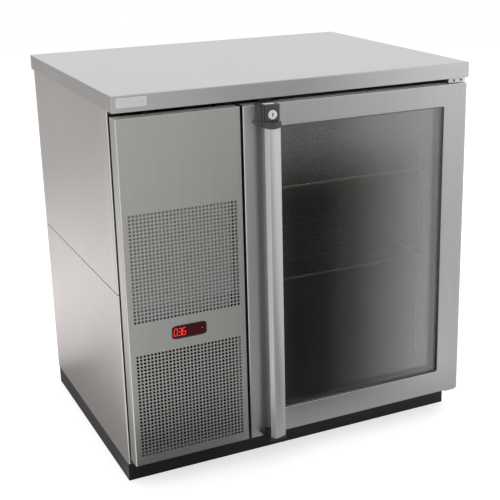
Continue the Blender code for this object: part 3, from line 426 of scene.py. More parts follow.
@dataclass(frozen=True)
class Skin(Finish):
    """Paint, plastic or rubber: a pebbled skin with rubbed, lighter patches."""

    name: str
    colour: Colour
    roughness: float
    pebbles: float = 900.0
    relief: float = 0.15
    rub: float = 0.18
    worn: Colour = (0.30, 0.30, 0.30)
    gloss: float = 0.5

    def shader(self, graph: Graph) -> Socket:
        """Pebbles give the relief, large clouds the rubbing and the change in gloss.

        Args:
            graph: the material's tree.

        Returns:
            The shader's output.
        """
        skin = graph.noise((self.pebbles,) * 3, 2.0)
        clouds = graph.noise((7.0, 7.0, 7.0), 5.0)
        scratch = graph.noise((30.0, 30.0, 400.0), 2.0)
        rubbed = clouds.rise(0.52, 0.80) * scratch.rise(0.45, 0.75) * self.rub
        plain = graph.mix(skin, shade(self.colour, 0.88), shade(self.colour, 1.12))
        return graph.principled({
            "Base Color": graph.mix(rubbed, plain, self.worn),
            "Specular IOR Level": self.gloss,
            "Roughness": self.roughness + 0.16 * (clouds - 0.5) + 0.06 * (skin - 0.5),
            "Normal": graph.bump(skin, self.relief, 0.0003),
        })


@dataclass(frozen=True)
class Finned(Finish):
    """A block of thin fins: bright edges and gaps of painted shade in turn along X."""

    name: str
    colour: Colour
    fins: float = 380.0

    def shader(self, graph: Graph) -> Socket:
        """Bands of painted shade along X, softened where fins are bent.

        Args:
            graph: the material's tree.

        Returns:
            The shader's output.
        """
        sockets = {"Vector": graph.place((self.fins, 0.0, 0.0)), "Scale": 1.0, "Distortion": 0.0}
        settings = {"wave_type": "BANDS", "bands_direction": "X"}
        bands = graph.value("ShaderNodeTexWave", settings, sockets, 1)
        bent = graph.noise((40.0, 40.0, 12.0), 3.0)
        edge = bands * (0.6 + 0.4 * bent)
        return graph.principled({
            # Painted shade: the gaps between fins are darkened to 0.22 of the colour.
            "Base Color": graph.mix(edge, shade(self.colour, 0.22), self.colour),
            "Metallic": 0.85,
            "Roughness": 0.55 - 0.2 * edge,
            "Normal": graph.bump(bands, 0.4, 0.0006),
        })


@dataclass(frozen=True)
class Board(Finish):
    """Grey pressed board: fibres and chips of two tones."""

    name: str
    colour: Colour

    def shader(self, graph: Graph) -> Socket:
        """Chips and fibres set the tone, fibres the relief.

        Args:
            graph: the material's tree.

        Returns:
            The shader's output.
        """
        chips = graph.cells(160.0)
        fibres = graph.noise((60.0, 400.0, 400.0), 4.0)
        tone = 0.5 * chips + 0.5 * fibres
        return graph.principled({
            "Base Color": graph.mix(tone, shade(self.colour, 0.7), shade(self.colour, 1.3)),
            "Roughness": 0.75 + 0.15 * (fibres - 0.5),
            "Normal": graph.bump(fibres, 0.3, 0.0005),
        })


@dataclass(frozen=True)
class Pane(Finish):
    """Clear pane: light passes, and more of it is thrown back at a glancing angle."""

    name: str
    tint: Colour
    square_on: float = 0.085
    film: float = 0.02

    def shader(self, graph: Graph) -> Socket:
        """Mirror share: a base share, plus the fifth power of the turn from square-on, plus film.

        Args:
            graph: the material's tree.

        Returns:
            The shader's output.
        """
        turn = graph.value("ShaderNodeLayerWeight", {}, {"Blend": 0.5}, "Facing")
        wiped = graph.noise((2.0, 2.0, 9.0), 4.0)
        mirror = self.square_on + (1.0 - self.square_on) * turn**5.0
        mirror = mirror + self.film * wiped
        clear = graph.clear(self.tint)
        gloss = graph.principled(
            {"Base Color": (0.95, 0.96, 0.96), "Metallic": 1.0, "Roughness": 0.03 + 0.08 * wiped}
        )
        return graph.blend(mirror, clear, gloss)


@dataclass(frozen=True)
class Lit(Finish):
    """A part that gives light, a little uneven, under a plain cover."""

    name: str
    colour: Colour
    strength: float

    def shader(self, graph: Graph) -> Socket:
        """The light's colour changes slightly along the part.

        Args:
            graph: the material's tree.

        Returns:
            The shader's output.
        """
        uneven = graph.noise((60.0, 60.0, 60.0), 2.0)
        return graph.principled({
            "Base Color": graph.mix(uneven, shade(self.colour, 0.8), self.colour),
            "Roughness": 0.4 + 0.1 * uneven,
            "Emission Color": graph.mix(uneven, shade(self.colour, 0.85), self.colour),
            "Emission Strength": self.strength,
        })


@dataclass(frozen=True)
class PaleFloor(Finish):
    """Studio floor: pale near the object, clear further out, painted shade and light in metal."""

    name: str = "studio_floor"
    grey: float = 0.62
    lift: float = 0.60
    fade: Span = (4.8, 7.6)
    fan_point: Span = (-1.109, 1.843)
    front: float = -0.333
    front_end: float = -0.452
    rear: float = 0.377
    side: float = 0.457
    near_span: Span = (0.30, 0.39)
    sooner: float = 0.55
    sooner_span: Span = (0.43, 0.475)
    far_span: Span = (2.0, 3.4)
    left_span: Span = (0.42, 0.75)
    left_tone: float = 0.66
    edge_highlight: float = 1.5
    edge_start: Span = (0.0, 0.3)
    edge_stop: Span = (1.2, 2.4)
    edge_far: Span = (3.4, 4.2)
    edge_least: float = 0.02
    beside_span: Span = (-0.45, -0.15)
    past_more: float = 0.15
    past_start: Span = (0.0, 0.15)
    past_stop: Span = (0.3, 0.7)
    side_tint: Colour = (1.0, 0.955, 0.94)
    # Tones seen only in mirrors: low ones painted shade, those above one painted highlights.
    near_tones: Tones = (
        (0.0, 0.12), (0.31, 0.12), (0.42, 0.18), (0.45, 0.37),
        (0.5, 0.4), (0.58, 0.46), (0.68, 0.52), (0.8, 0.72),
    )
    middle_tones: Tones = (
        (0.0, 0.6), (0.31, 0.6), (0.4, 0.39), (0.44, 0.56), (0.455, 0.50), (0.475, 0.1),
        (0.5, 0.04), (0.54, 0.06), (0.58, 0.20), (0.63, 0.60), (0.675, 1.08), (0.71, 0.60),
        (0.8, 0.86),
    )
    far_tones: Tones = (
        (0.0, 0.85), (0.31, 0.90), (0.37, 0.6), (0.42, 0.51), (0.447, 0.48), (0.5, 0.36),
        (0.55, 0.46), (0.6, 0.82), (0.65, 1.06), (0.72, 1.28), (0.8, 1.2),
    )
    side_tones: Tones = (
        (-0.3, 0.05), (-0.02, 0.08), (0.0, 0.3), (0.12, 0.33), (0.35, 0.78),
        (0.7, 1.16), (1.2, 1.0), (1.9, 0.80), (2.6, 0.62),
    )

    def shader(self, graph: Graph) -> Socket:
        """Matt, lifted for straight rays, painted light and shade for gloss, faded out by distance.

        Args:
            graph: the material's tree.

        Returns:
            The shader's output.
        """
        seen, gloss = graph.rays()
        matt = graph.node("ShaderNodeBsdfDiffuse", {}, {"Color": (self.grey,) * 3}).outputs[0]
        light = graph.glow(WHITE, self.lift * seen)
        both = graph.node("ShaderNodeAddShader", {}, {0: matt, 1: light}).outputs[0]
        # Mirror rays see painted light and shade in place of the lit floor.
        both = graph.blend(gloss, both, graph.glow(self.mirrored(graph), 1.0))
        spot = {0: graph.place((1, 1, 1))}
        away = graph.value("ShaderNodeVectorMath", {"operation": "LENGTH"}, spot, "Value")
        return graph.blend(away.rise(*self.fade), both, graph.clear())

    def mirrored(self, graph: Graph) -> Socket:
        """The floor that bright metal shows: painted shade near the front, pale beside and behind.

        Ahead of the front, tones go by the bearing from a point behind it, in a near, a
        middle and a far zone. Beside and behind, they go by the gap to the nearest side.

        Args:
            graph: the material's tree.

        Returns:
            The colour's output.
        """
        across, along, _ = graph.split(graph.place((1, 1, 1)))
        bearing = (across - self.fan_point[0]) / (self.fan_point[1] - along)
        zones = (self.near_tones, self.middle_tones, self.far_tones)
        near, middle, far = (graph.ramp(bearing, tones) for tones in zones)
        ahead = self.front - along
        soon = ahead * (1.0 + self.sooner * bearing.rise(*self.sooner_span))
        # Painted shade: the near zone just ahead of the front is the dimmest.
        front = graph.mix(soon.rise(*self.near_span), near, middle)
        front = graph.mix(ahead.rise(*self.far_span), front, far)
        front = graph.mix((0.0 - across).rise(*self.left_span), front, (self.left_tone,) * 3)
        # Painted highlight: a bright band ahead of the front, beyond its left end, for edges to
        # mirror.
        turn = (self.front_end - across) / ahead.at_least(self.edge_least)
        edge = turn.rise(*self.edge_start) * (1.0 - turn.rise(*self.edge_stop))
        edge = edge * (1.0 - ahead.rise(*self.edge_far))
        front = graph.mix(edge, front, (self.edge_highlight,) * 3)
        past = along - self.rear
        more = self.past_more * past.rise(*self.past_start) * (1.0 - past.rise(*self.past_stop))
        past = past + more
        # Painted shade under and close to the sides, pale further out, with a warm tint.
        gap = (across.size() - self.side).at_least(past)
        tinted = {0: graph.ramp(gap, self.side_tones), 1: self.side_tint}
        beside = graph.node("ShaderNodeVectorMath", {"operation": "MULTIPLY"}, tinted).outputs[0]
        return graph.mix(along.rise(*self.beside_span), front, beside)


class Finishes:
    """The finishes of this fridge."""

    COUNTER = Brushed("counter_brushed", (0.515, 0.515, 0.51), 0.30, Grain.ALONG_X)
    SIDE = Brushed("side_brushed", (0.60, 0.585, 0.575), 0.32, Grain.ALONG_Z)
    PANEL = Brushed("panel_brushed", (0.53, 0.53, 0.51), 0.34, Grain.ALONG_Z)
    DOOR = Brushed("door_brushed", (0.56, 0.56, 0.555), 0.32, Grain.ALONG_Z)
    # The handle's hollow gets painted shade, darkest next to the door.
    HANDLE = Brushed(
        "handle_drawn", (0.60, 0.60, 0.60), 0.36, Grain.ALONG_Z, 0.07,
        metallic=0.75, hollow=(-0.0805, -0.3372, -0.3342),
    )
    SHELF = Brushed("shelf_wire", (0.11, 0.11, 0.12), 0.40, Grain.EVEN)
    PILASTER = Brushed("pilaster_brushed", (0.20, 0.20, 0.20), 0.40, Grain.ALONG_Z)
    CHROME = Brushed("chrome_worn", (0.78, 0.78, 0.79), 0.16, Grain.EVEN, 0.06, 0.10)
    BRIGHT = Brushed("bright_satin", (0.80, 0.80, 0.80), 0.40, Grain.EVEN, 0.06, 0.10, 0.45)
    PLATE = Brushed("plate_satin", (0.80, 0.80, 0.80), 0.42, Grain.ALONG_X, 0.05)
    COPPER = Brushed("copper_drawn", (0.72, 0.38, 0.24), 0.32, Grain.EVEN, 0.18)
    SPACER = Brushed("spacer_dull", (0.20, 0.20, 0.21), 0.45, Grain.ALONG_Z)
    BEAD = Brushed("glazing_bead", (0.13, 0.13, 0.14), 0.30, Grain.EVEN, 0.06, 0.08)
    ZINC = Spangled("zinc_spangle", (0.52, 0.53, 0.54))
    BACKING = Skin(
        "backing_paint", (0.37, 0.37, 0.36), 0.55, 500.0, 0.10, 0.20, (0.28, 0.28, 0.27)
    )
    LINER = Skin(
        "liner_dark", (0.020, 0.019, 0.019), 0.36, 300.0, 0.05, 0.10, (0.08, 0.075, 0.075)
    )
    COOLER = Skin("cooler_cover", (0.20, 0.195, 0.19), 0.45, 500.0, 0.08, 0.12)
    PLINTH = Skin(
        "plinth_paint", (0.012, 0.012, 0.013), 0.40, 500.0, 0.10, 0.25, (0.06, 0.06, 0.06)
    )
    FRAME = Skin("frame_moulding", (0.016, 0.016, 0.017), 0.50)
    MACHINE = Skin("machine_paint", (0.022, 0.022, 0.023), 0.38, 400.0, 0.12)
    LOCK = Skin("lock_moulding", (0.050, 0.050, 0.054), 0.42, 1300.0, 0.10, 0.12)
    CAP = Skin("cap_moulding", (0.018, 0.018, 0.019), 0.50, 1000.0, 0.10, 0.15)
    CHARCOAL = Skin("charcoal_moulding", (0.060, 0.060, 0.064), 0.48, 1000.0)
    GREY = Skin("grey_moulding", (0.32, 0.32, 0.33), 0.50, 900.0)
    RUBBER = Skin("rubber_seal", (0.030, 0.030, 0.032), 0.66, 700.0, 0.2)
    STRIP = Skin("edge_strip", (0.55, 0.55, 0.54), 0.60, 700.0, 0.05, 0.12)
    CASE = Skin("case_paint", (0.30, 0.30, 0.31), 0.45, 500.0)
    BEZEL = Skin("display_rim", (0.008, 0.008, 0.009), 0.30, 900.0, 0.05, 0.05)
    LENS = Skin(
        "display_lens", (0.050, 0.0015, 0.003), 0.20, 400.0, 0.02, 0.04, (0.08, 0.01, 0.01), 0.18
    )
    # Near-black painted shade inside the key slot.
    KEYWAY_SHADE = Skin("keyway_dark", (0.006, 0.006, 0.006), 0.60)
    BOARD = Board("core_fibre", (0.82, 0.82, 0.80))
    # The fins' colour is darkened as painted shade for the machine bay and the cooler.
    FINS_SHADED = Finned("fin_pack", (0.17, 0.175, 0.18))
    GLASS = Pane("door_pane", (0.955, 0.95, 0.94))
    DIGIT = Lit("digit_red", (1.0, 0.022, 0.028), 0.85)
    DOT = Lit("dot_red", (1.0, 0.03, 0.05), 0.55)
    LAMP = Lit("lamp_warm", (1.0, 0.62, 0.36), 12.0)


Solids = Mapping[Finish, Sequence[str]]


@dataclass(frozen=True)
class Extent:
    """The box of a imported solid."""

    left: float
    right: float
    front: float
    back: float
    bottom: float
    top: float

    @classmethod
    def of(cls, node: str) -> "Extent":
        """The box of a node at rest."""
        low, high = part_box(node)
        return cls(low.x, high.x, low.y, high.y, low.z, high.z)

    def middle(self) -> Array:
        """The middle of the box."""
        low = np.array([self.left, self.front, self.bottom])
        return 0.5 * (low + (self.right, self.back, self.top))


@dataclass
class Surface:
    """Points and faces of a shape; faces are held by their number of corners."""

    points: Array
    faces: list[Array]

    def __add__(self, other: "Surface") -> "Surface":
        """Both shapes as one."""
        faces = self.faces + [face + len(self.points) for face in other.faces]
        return Surface(np.vstack([self.points, other.points]), faces)

    def moved(self, shift: Sequence[float]) -> "Surface":
        """The shape, shifted."""
        return Surface(self.points + np.asarray(shift), self.faces)

    def repeated(self, shifts: Array) -> "Surface":
        """Copy the shape.

        Args:
            shifts: one row for each copy.

        Returns:
            All copies as one shape.
        """
        points = (self.points[None] + np.asarray(shifts)[:, None]).reshape(-1, 3)
        starts = np.arange(len(shifts))[:, None, None] * len(self.points)
        faces = [(face[None] + starts).reshape(-1, face.shape[1]) for face in self.faces]
        return Surface(points, faces)


def joined(parts: Iterable[Surface]) -> Surface:
    """All shapes as one."""
    first, *rest = parts
    return sum(rest, first)


def rows_of(*columns: Any) -> Array:
    """Rows of numbers that come from each column in turn; a single number fills its column."""
    return np.stack(np.broadcast_arrays(*columns), axis=-1)


def circle(steps: int) -> Array:
    """Points at equal turns on a circle of radius one."""
    angle = np.linspace(0.0, 2.0 * np.pi, steps, endpoint=False)
    return rows_of(np.cos(angle), np.sin(angle))


def rectangle(left: float, low: float, right: float, high: float) -> Array:
    """Corners of a rectangle, anticlockwise from the lower left."""
    return np.array([(left, low), (right, low), (right, high), (left, high)])


def rounded(corners: Any, radii: Any, steps: int = 6) -> Array:
    """Turn the corners of a polygon into arcs.

    The arc of radius r touches both sides of its corner. Its points swing from one
    touching point to the other, at equal angles about the arc's centre.

    Args:
        corners: the polygon's corners, one row each.
        radii: one radius, or one for each corner.
        steps: number of parts of each arc.

    Returns:
        The outline's points, steps + 1 for each corner.
    """
    at = np.asarray(corners, float)
    radius = np.broadcast_to(np.asarray(radii, float), len(at))[:, None]
    back = np.roll(at, 1, axis=0) - at
    ahead = np.roll(at, -1, axis=0) - at
    back = back / np.linalg.norm(back, axis=1, keepdims=True)
    ahead = ahead / np.linalg.norm(ahead, axis=1, keepdims=True)
    half = 0.5 * np.arccos(np.clip((back * ahead).sum(1), -1.0, 1.0))[:, None]
    middle = back + ahead
    middle = middle / np.maximum(np.linalg.norm(middle, axis=1, keepdims=True), TINY)
    centre = at + middle * radius / np.sin(half)
    first = at + back * radius / np.tan(half) - centre
    last = at + ahead * radius / np.tan(half) - centre
    sweep = np.pi - 2.0 * half
    share = np.linspace(0.0, 1.0, steps + 1)[None]
    whole = np.maximum(np.sin(sweep), TINY)
    near = np.sin((1.0 - share) * sweep) / whole
    far = np.sin(share * sweep) / whole
    arc = centre[:, None] + near[..., None] * first[:, None] + far[..., None] * last[:, None]
    return arc.reshape(-1, 2)


def lift(outline: Array, axis: Axis, place: float) -> Array:
    """Put a flat outline at a place along an axis; its numbers take the other axes in order."""
    return np.insert(outline, axis.value, place, axis=1)


def bend(start: float, steps: int = 5) -> Array:
    """Rows of (inset, drop) for a quarter bend of radius start, from the wall to the face."""
    angle = np.linspace(0.0, 0.5 * np.pi, steps + 1)
    return rows_of(start * (1.0 - np.cos(angle)), start * (1.0 - np.sin(angle)))


def grid_faces(rows: int, columns: int, ring: bool = False, turn: bool = True) -> Array:
    """Quads between neighbours of a grid of points that are numbered row by row.

    Args:
        rows: number of rows.
        columns: number of points in a row.
        ring: the last row meets the first.
        turn: the last column meets the first.

    Returns:
        One row of four point numbers for each quad.
    """
    down = np.arange(rows if ring else rows - 1)[:, None]
    over = np.arange(columns if turn else columns - 1)[None]
    row, below = down * columns, (down + 1) % rows * columns
    beside = (over + 1) % columns
    return rows_of(row + over, row + beside, below + beside, below + over).reshape(-1, 4)


def ring_faces(outer: Array, inner: Array) -> Array:
    """Quads between closed rows of point numbers, each to the same number of the other row."""
    ahead = [np.roll(row, -1, axis=-1) for row in (outer, inner)]
    return rows_of(outer, ahead[0], ahead[1], inner).reshape(-1, 4)


def loft(loops: Any, ring: bool = False, caps: bool = True) -> Surface:
    """Join closed loops with equal numbers of points, each point to the same of the next loop.

    Args:
        loops: the loops in order, each an array of points.
        ring: the last loop meets the first.
        caps: close both ends where there is no ring.

    Returns:
        The skin over the loops.
    """
    net = np.asarray(loops, float)
    rows, columns = net.shape[:2]
    faces = [grid_faces(rows, columns, ring)]
    if caps and not ring:
        around = np.arange(columns)
        faces.append(np.array([around[::-1], around + (rows - 1) * columns]))
    return Surface(net.reshape(-1, 3), faces)


@dataclass(frozen=True)
class Outline:
    """A rounded rectangle across an axis; its corners tighten as it is drawn in."""

    left: float
    low: float
    right: float
    high: float
    axis: Axis
    corner: float
    least: Optional[float] = None
    steps: int = 6

    def at(self, inset: float, place: float) -> Array:
        """Draw the outline in.

        Args:
            inset: how far each side moves in.
            place: where the outline lies along the axis.

        Returns:
            The outline's points. Its corner stays as it is where no least one is given.
        """
        sides = self.left + inset, self.low + inset, self.right - inset, self.high - inset
        radius = self.corner if self.least is None else max(self.corner - inset, self.least)
        return lift(rounded(rectangle(*sides), radius, self.steps), self.axis, place)

    def carried(
        self, rows: Iterable[Span], start: float = 0.0, scale: float = 1.0, ring: bool = False
    ) -> Surface:
        """A skin over the outlines of (inset, height) rows; heights are scaled, from a start."""
        return loft([self.at(inset, start + scale * up) for inset, up in rows], ring=ring)


def prism(outline: Array, axis: Axis, low: float, high: float) -> Surface:
    """A flat outline carried straight along an axis from low to high."""
    return loft([lift(outline, axis, low), lift(outline, axis, high)])


def revolve(profile: Any, axis: Axis, centre: Sequence[float], steps: int = 48) -> Surface:
    """Turn a profile of (radius, height) rows about an axis; each row becomes a circle.

    Args:
        profile: rows of radius and height along the axis.
        axis: the axis of turning.
        centre: the point where height is zero.
        steps: number of points of each circle.

    Returns:
        The turned skin, closed at both ends.
    """
    rows = np.asarray(profile, float)
    loops = [lift(radius * circle(steps), axis, height) for radius, height in rows]
    return loft(loops).moved(centre)


def tube(
    path: Any, normal: Sequence[float], radius: float, sides: int = 10, ring: bool = False
) -> Surface:
    """Carry a circle along a path that lies in a plane.

    Each circle is spanned by the plane's normal and by the cross product of the path's
    direction with that normal.

    Args:
        path: points of the path.
        normal: direction at right angles to the path's plane.
        radius: radius of the circle.
        sides: number of points of each circle.
        ring: the path is closed.

    Returns:
        The tube's skin, closed at its ends.
    """
    at, up = np.asarray(path, float), np.asarray(normal, float)
    if ring:
        along = np.roll(at, -1, axis=0) - np.roll(at, 1, axis=0)
    else:
        along = np.gradient(at, axis=0)
    side = np.cross(along, up)
    side = side / np.linalg.norm(side, axis=1, keepdims=True)
    cosine, sine = circle(sides).T[:, None, :, None]
    return loft(at[:, None] + radius * (cosine * side[:, None] + sine * up), ring=ring)


def marked(loop: Array, right: float, left: float) -> Array:
    """Add two points to the top edge of a four-cornered loop, where its last corner starts.

    Args:
        loop: the loop's points.
        right: X of the first new point.
        left: X of the second.

    Returns:
        The loop with both points.
    """
    corner = 3 * len(loop) // 4
    marks = np.repeat(loop[corner : corner + 1], 2, axis=0)
    marks[:, 0] = right, left
    return np.insert(loop, corner, marks, axis=0)


def sunk(skin: Surface, face: int, floor: float) -> Surface:
    """Swap one level quad of a skin for a pocket.

    Args:
        skin: a skin of quads.
        face: number of the quad.
        floor: height of the pocket's floor.

    Returns:
        The skin with the pocket's four walls and its floor.
    """
    mouth = skin.faces[0][face]
    base = skin.points[mouth].copy()
    base[:, 2] = floor
    under = len(skin.points) + np.arange(4)
    walls = ring_faces(mouth, under)
    quads = np.vstack([np.delete(skin.faces[0], face, axis=0), walls, under[None]])
    return Surface(np.vstack([skin.points, base]), [quads])


def link(name: str, surface: Surface, solid: bool) -> bpy.types.Object:
    """Make an object of a surface.

    Args:
        name: the object's name.
        surface: its points and faces.
        solid: a closed skin, whose faces are turned outwards.

    Returns:
        The object, at the origin.
    """
    mesh = bpy.data.meshes.new(name)
    faces = [row for face in surface.faces for row in face.tolist()]
    mesh.from_pydata(surface.points.tolist(), [], faces)
    work = bmesh.new()
    work.from_mesh(mesh)
    bmesh.ops.remove_doubles(work, verts=work.verts, dist=MERGE_DISTANCE)
    bmesh.ops.dissolve_degenerate(work, edges=work.edges, dist=FLAT_DISTANCE)
    if solid:
        bmesh.ops.recalc_face_normals(work, faces=work.faces)
    work.to_mesh(mesh)
    work.free()
    made = bpy.data.objects.new(name, mesh)
    bpy.context.scene.collection.objects.link(made)
    return made


def sharpen_rims(mesh: bpy.types.Mesh) -> None:
    """Mark the edges that belong to one face as sharp, so a wall starts there with a crisp rim.

    Args:
        mesh: an open sheet.
    """
    used = np.zeros(len(mesh.loops), np.int32)
    mesh.loops.foreach_get("edge_index", used)
    rims = np.bincount(used, minlength=len(mesh.edges)) == 1
    sharp = np.zeros(len(mesh.edges), bool)
    mesh.edges.foreach_get("use_edge_sharp", sharp)
    mesh.edges.foreach_set("use_edge_sharp", sharp | rims)


@dataclass
class Piece:
    """One piece of the look: its surface, where it belongs and how it is finished."""

    name: str
    surface: Surface
    finish: Finish
    body: str
    slot: str
    stands_for: tuple[str, ...] = ()
    solid: bool = True
    wall: float = 0.0
    edge: float = 0.0
    crease: float = 38.0

    def build(self) -> bpy.types.Object:
        """Make the object, finish it and hand it to its body.

        Returns:
            The finished object.
        """
        made = link(self.name, self.surface, self.solid)
        made.data.shade_smooth()
        made.data.set_sharp_from_angle(angle=math.radians(self.crease))
        made.data.materials.append(self.finish.material())
        if self.wall:
            sharpen_rims(made.data)
            wall = made.modifiers.new("wall", "SOLIDIFY")
            wall.thickness = self.wall
            wall.offset = -1.0
        if self.edge:
            edge = made.modifiers.new("edge", "BEVEL")
            edge.width = self.edge
            edge.segments = 2
            edge.limit_method = "ANGLE"
            edge.angle_limit = math.radians(self.crease)
            edge.harden_normals = True
        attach(made, self.body)
        if self.stands_for:
            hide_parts(*self.stands_for)
        LOG.info("%s: %d faces on %s", self.name, len(made.data.polygons), self.body)
        return made


def dress(finish: Finish, *nodes: str) -> None:
    """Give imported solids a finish.

    Args:
        finish: the finish.
        nodes: names of the solids.
    """
    for name in nodes:
        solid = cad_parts[name]
        solid.data.materials.clear()
        solid.data.materials.append(finish.material())
        LOG.info("%s: %s", name, finish.name)


class Assembly(ABC):
    """A group of pieces that are made together."""

    @abstractmethod
    def pieces(self) -> list[Piece]:
        """The new pieces of the group."""

    def solids(self) -> Solids:
        """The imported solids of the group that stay, by finish."""
        return {}

    def build(self) -> None:
        """Make the new pieces and dress the solids that stay."""
        for piece in self.pieces():
            piece.build()
        for finish, nodes in self.solids().items():
            dress(finish, *nodes)


def top_strip(box: Extent, left: float, right: float) -> Surface:
    """A thin strip along the top of a front, from left to right, a little behind its face."""
    corners = rectangle(left, box.front + STRIP_FRONT, right, box.front + STRIP_BACK)
    return prism(rounded(corners, STRIP_CORNER, 3), Axis.Z, box.top, box.top + STRIP_THICK)


@dataclass
class CounterTop(Assembly):
    """Folded steel top over its core, and the bare plate on its front edge."""

    sheet: float = 0.0015
    fold: float = 0.0028
    corner: float = 0.0014
    corner_least: float = 0.0003
    flat: float = 0.0008
    plate_left: float = 0.0105
    plate_width: float = 0.068
    plate_height: float = 0.021
    plate_drop: float = 0.0065
    plate_thick: float = 0.0006
    plate_corner: float = 0.003
    border: float = 0.0016
    border_roll: float = 0.0003

    def shell(self) -> Surface:
        """Loops of a rounded rectangle: up the inside, under the rim, up the wall, over the fold.

        Returns:
            The folded sheet's skin.
        """
        box = Extent.of("counter_top")
        sides = box.left, box.front, box.right, box.back
        rim, wall_top = 0.25 * self.sheet, box.top - self.fold - self.flat
        rows = [(self.sheet, box.top - self.sheet), (self.sheet, box.bottom), (rim, box.bottom)]
        rows += [(0.0, box.bottom + rim), (0.0, wall_top)]
        rows += [(inset, box.top - drop) for inset, drop in bend(self.fold)]
        rows += [(self.fold + self.flat, box.top)]
        return Outline(*sides, Axis.Z, self.corner, self.corner_least).carried(rows)

    def plate(self) -> Surface:
        """A thin rounded plate with a raised border on the front edge.

        Returns:
            The plate's skin.
        """
        box = Extent.of("counter_top")
        left, top = box.left + self.plate_left, box.top - self.plate_drop
        sides = left, top - self.plate_height, left + self.plate_width, top
        rows = [(0.0, 0.0), (0.0, 0.7), (self.border_roll, 1.0)]
        rows += [(self.border - self.border_roll, 1.0), (self.border, 0.6)]
        edge = Outline(*sides, Axis.Y, self.plate_corner, self.corner_least)
        return edge.carried(rows, box.front, -self.plate_thick)

    def pieces(self) -> list[Piece]:
        """The steel shell and the bare plate.

        Returns:
            Both pieces.
        """
        return [
            Piece("counter_top_sheet", self.shell(), Finishes.COUNTER, "cabinet", "counter_steel",
                  ("counter_top",)),
            Piece("bare_plate", self.plate(), Finishes.PLATE, "cabinet", "chrome"),
        ]

    def solids(self) -> Solids:
        """The core under the sheet."""
        return {Finishes.BOARD: ["top_core"]}


@dataclass
class Casing(Assembly):
    """Side sheets with a narrow front fold, the back sheet with its hoods, and the plinth."""

    sheet: float = 0.0015
    fold: float = 0.0036
    tight: float = 0.0002
    worn_edge: float = 0.0003
    hood_rise: float = 0.0045
    hood_height: float = 0.013
    hood_overlap: float = 0.004
    hood_wall: float = 0.0008
    vents: int = 9
    vent_pitch: float = 0.022
    vent_low: float = 0.520
    vent_inset: float = 0.056
    vent_width: float = 0.170
    screw_radius: float = 0.0042
    screw_rise: float = 0.0024
    screw_inset: float = 0.010
    screw_count: int = 7

    HEAD = np.array([(1.0, 0.0), (1.0, 0.35), (0.85, 0.75), (0.55, 0.97), (0.34, 1.0),
                     (0.26, 0.6), (0.0, 0.55)])

    def side(self, node: str, outer: int) -> Surface:
        """A folded sheet seen in plan, carried up from the foot to the top of its solid.

        Args:
            node: the solid it stands for.
            outer: -1 for a left-hand sheet, 1 for a right-hand one.

        Returns:
            The sheet's skin.
        """
        box = Extent.of(node)
        wall, lip = (box.left, box.right) if outer < 0 else (box.right, box.left)
        inner, behind = wall - outer * self.sheet, box.front + self.sheet
        corners = [(wall, box.back), (wall, box.front), (lip, box.front)]
        corners += [(lip, behind), (inner, behind), (inner, box.back)]
        tight = self.tight
        radii = [tight, self.fold, tight, tight, self.fold - self.sheet, tight]
        return prism(rounded(corners, radii), Axis.Z, box.bottom, box.top)

    def hoods(self) -> Surface:
        """Hoods over the vents of the back sheet, each a function of (along, up).

        A hood's rise is the full rise times one minus the eighth power of the distance from
        the middle, times the cosine of the way up, so it is open at its lower lip only.

        Returns:
            All hoods as one sheet.
        """
        along, up = np.meshgrid(np.linspace(-1.0, 1.0, 25), np.linspace(0.0, 1.0, 7), indexing="ij")
        rise = self.hood_rise * (1.0 - along**8) * np.cos(0.5 * np.pi * up)
        reach = 0.5 * self.vent_width + self.hood_overlap
        points = rows_of(reach * along, rise, self.hood_height * up).reshape(-1, 3)
        one = Surface(points, [grid_faces(*along.shape, turn=False)])
        box = Extent.of("back_panel")
        middle = box.left + self.vent_inset + 0.5 * self.vent_width
        heights = self.vent_low + self.vent_pitch * np.arange(self.vents)
        return one.repeated(rows_of(middle, box.back + self.hood_wall, heights))

    def screws(self) -> Surface:
        """Set round-headed screws along the edges of the back sheet.

        Returns:
            All screws as one skin.
        """
        box, inset = Extent.of("back_panel"), self.screw_inset
        share = np.linspace(0.0, 1.0, self.screw_count)
        size = self.screw_radius, self.screw_rise
        one = revolve(self.HEAD * size, Axis.Y, (0.0, 0.0, 0.0), 14)
        wide = np.interp(share, [0, 1], [box.left + inset, box.right - inset])
        tall = np.interp(share, [0, 1], [box.bottom + inset, box.top - inset])
        rows = [(x, z) for x in wide for z in (tall[0], tall[-1])]
        rows += [(x, z) for x in (wide[0], wide[-1]) for z in tall[1:-1]]
        return one.repeated(lift(np.array(rows), Axis.Y, box.back))

    def pieces(self) -> list[Piece]:
        """The side sheets, the hoods and the screws.

        Returns:
            The pieces in that order.
        """
        sides = [("left_lower_panel", -1), ("left_upper_panel", -1), ("right_side_panel", 1)]
        made = [
            Piece(f"{node}_sheet", self.side(node, outer), Finishes.SIDE, "cabinet", "side_steel",
                  (node,), edge=self.worn_edge)
            for node, outer in sides
        ]
        return made + [
            Piece("vent_hoods", self.hoods(), Finishes.ZINC, "cabinet", "zinc_sheet",
                  solid=False, wall=self.hood_wall),
            Piece("back_screws", self.screws(), Finishes.CHROME, "cabinet", "chrome"),
        ]

    def solids(self) -> Solids:
        """Plinth boards, back sheet, tray, body and front frame.

        Returns:
            Their names by finish.
        """
        return {
            Finishes.PLINTH: ["plinth_front", "plinth_back", "plinth_left", "plinth_right"],
            Finishes.ZINC: ["back_panel", "base_tray"],
            Finishes.CASE: ["insulated_body"],
            Finishes.FRAME: ["face_frame"],
            Finishes.MACHINE: ["bay_front_post", "mullion_rail"],
        }


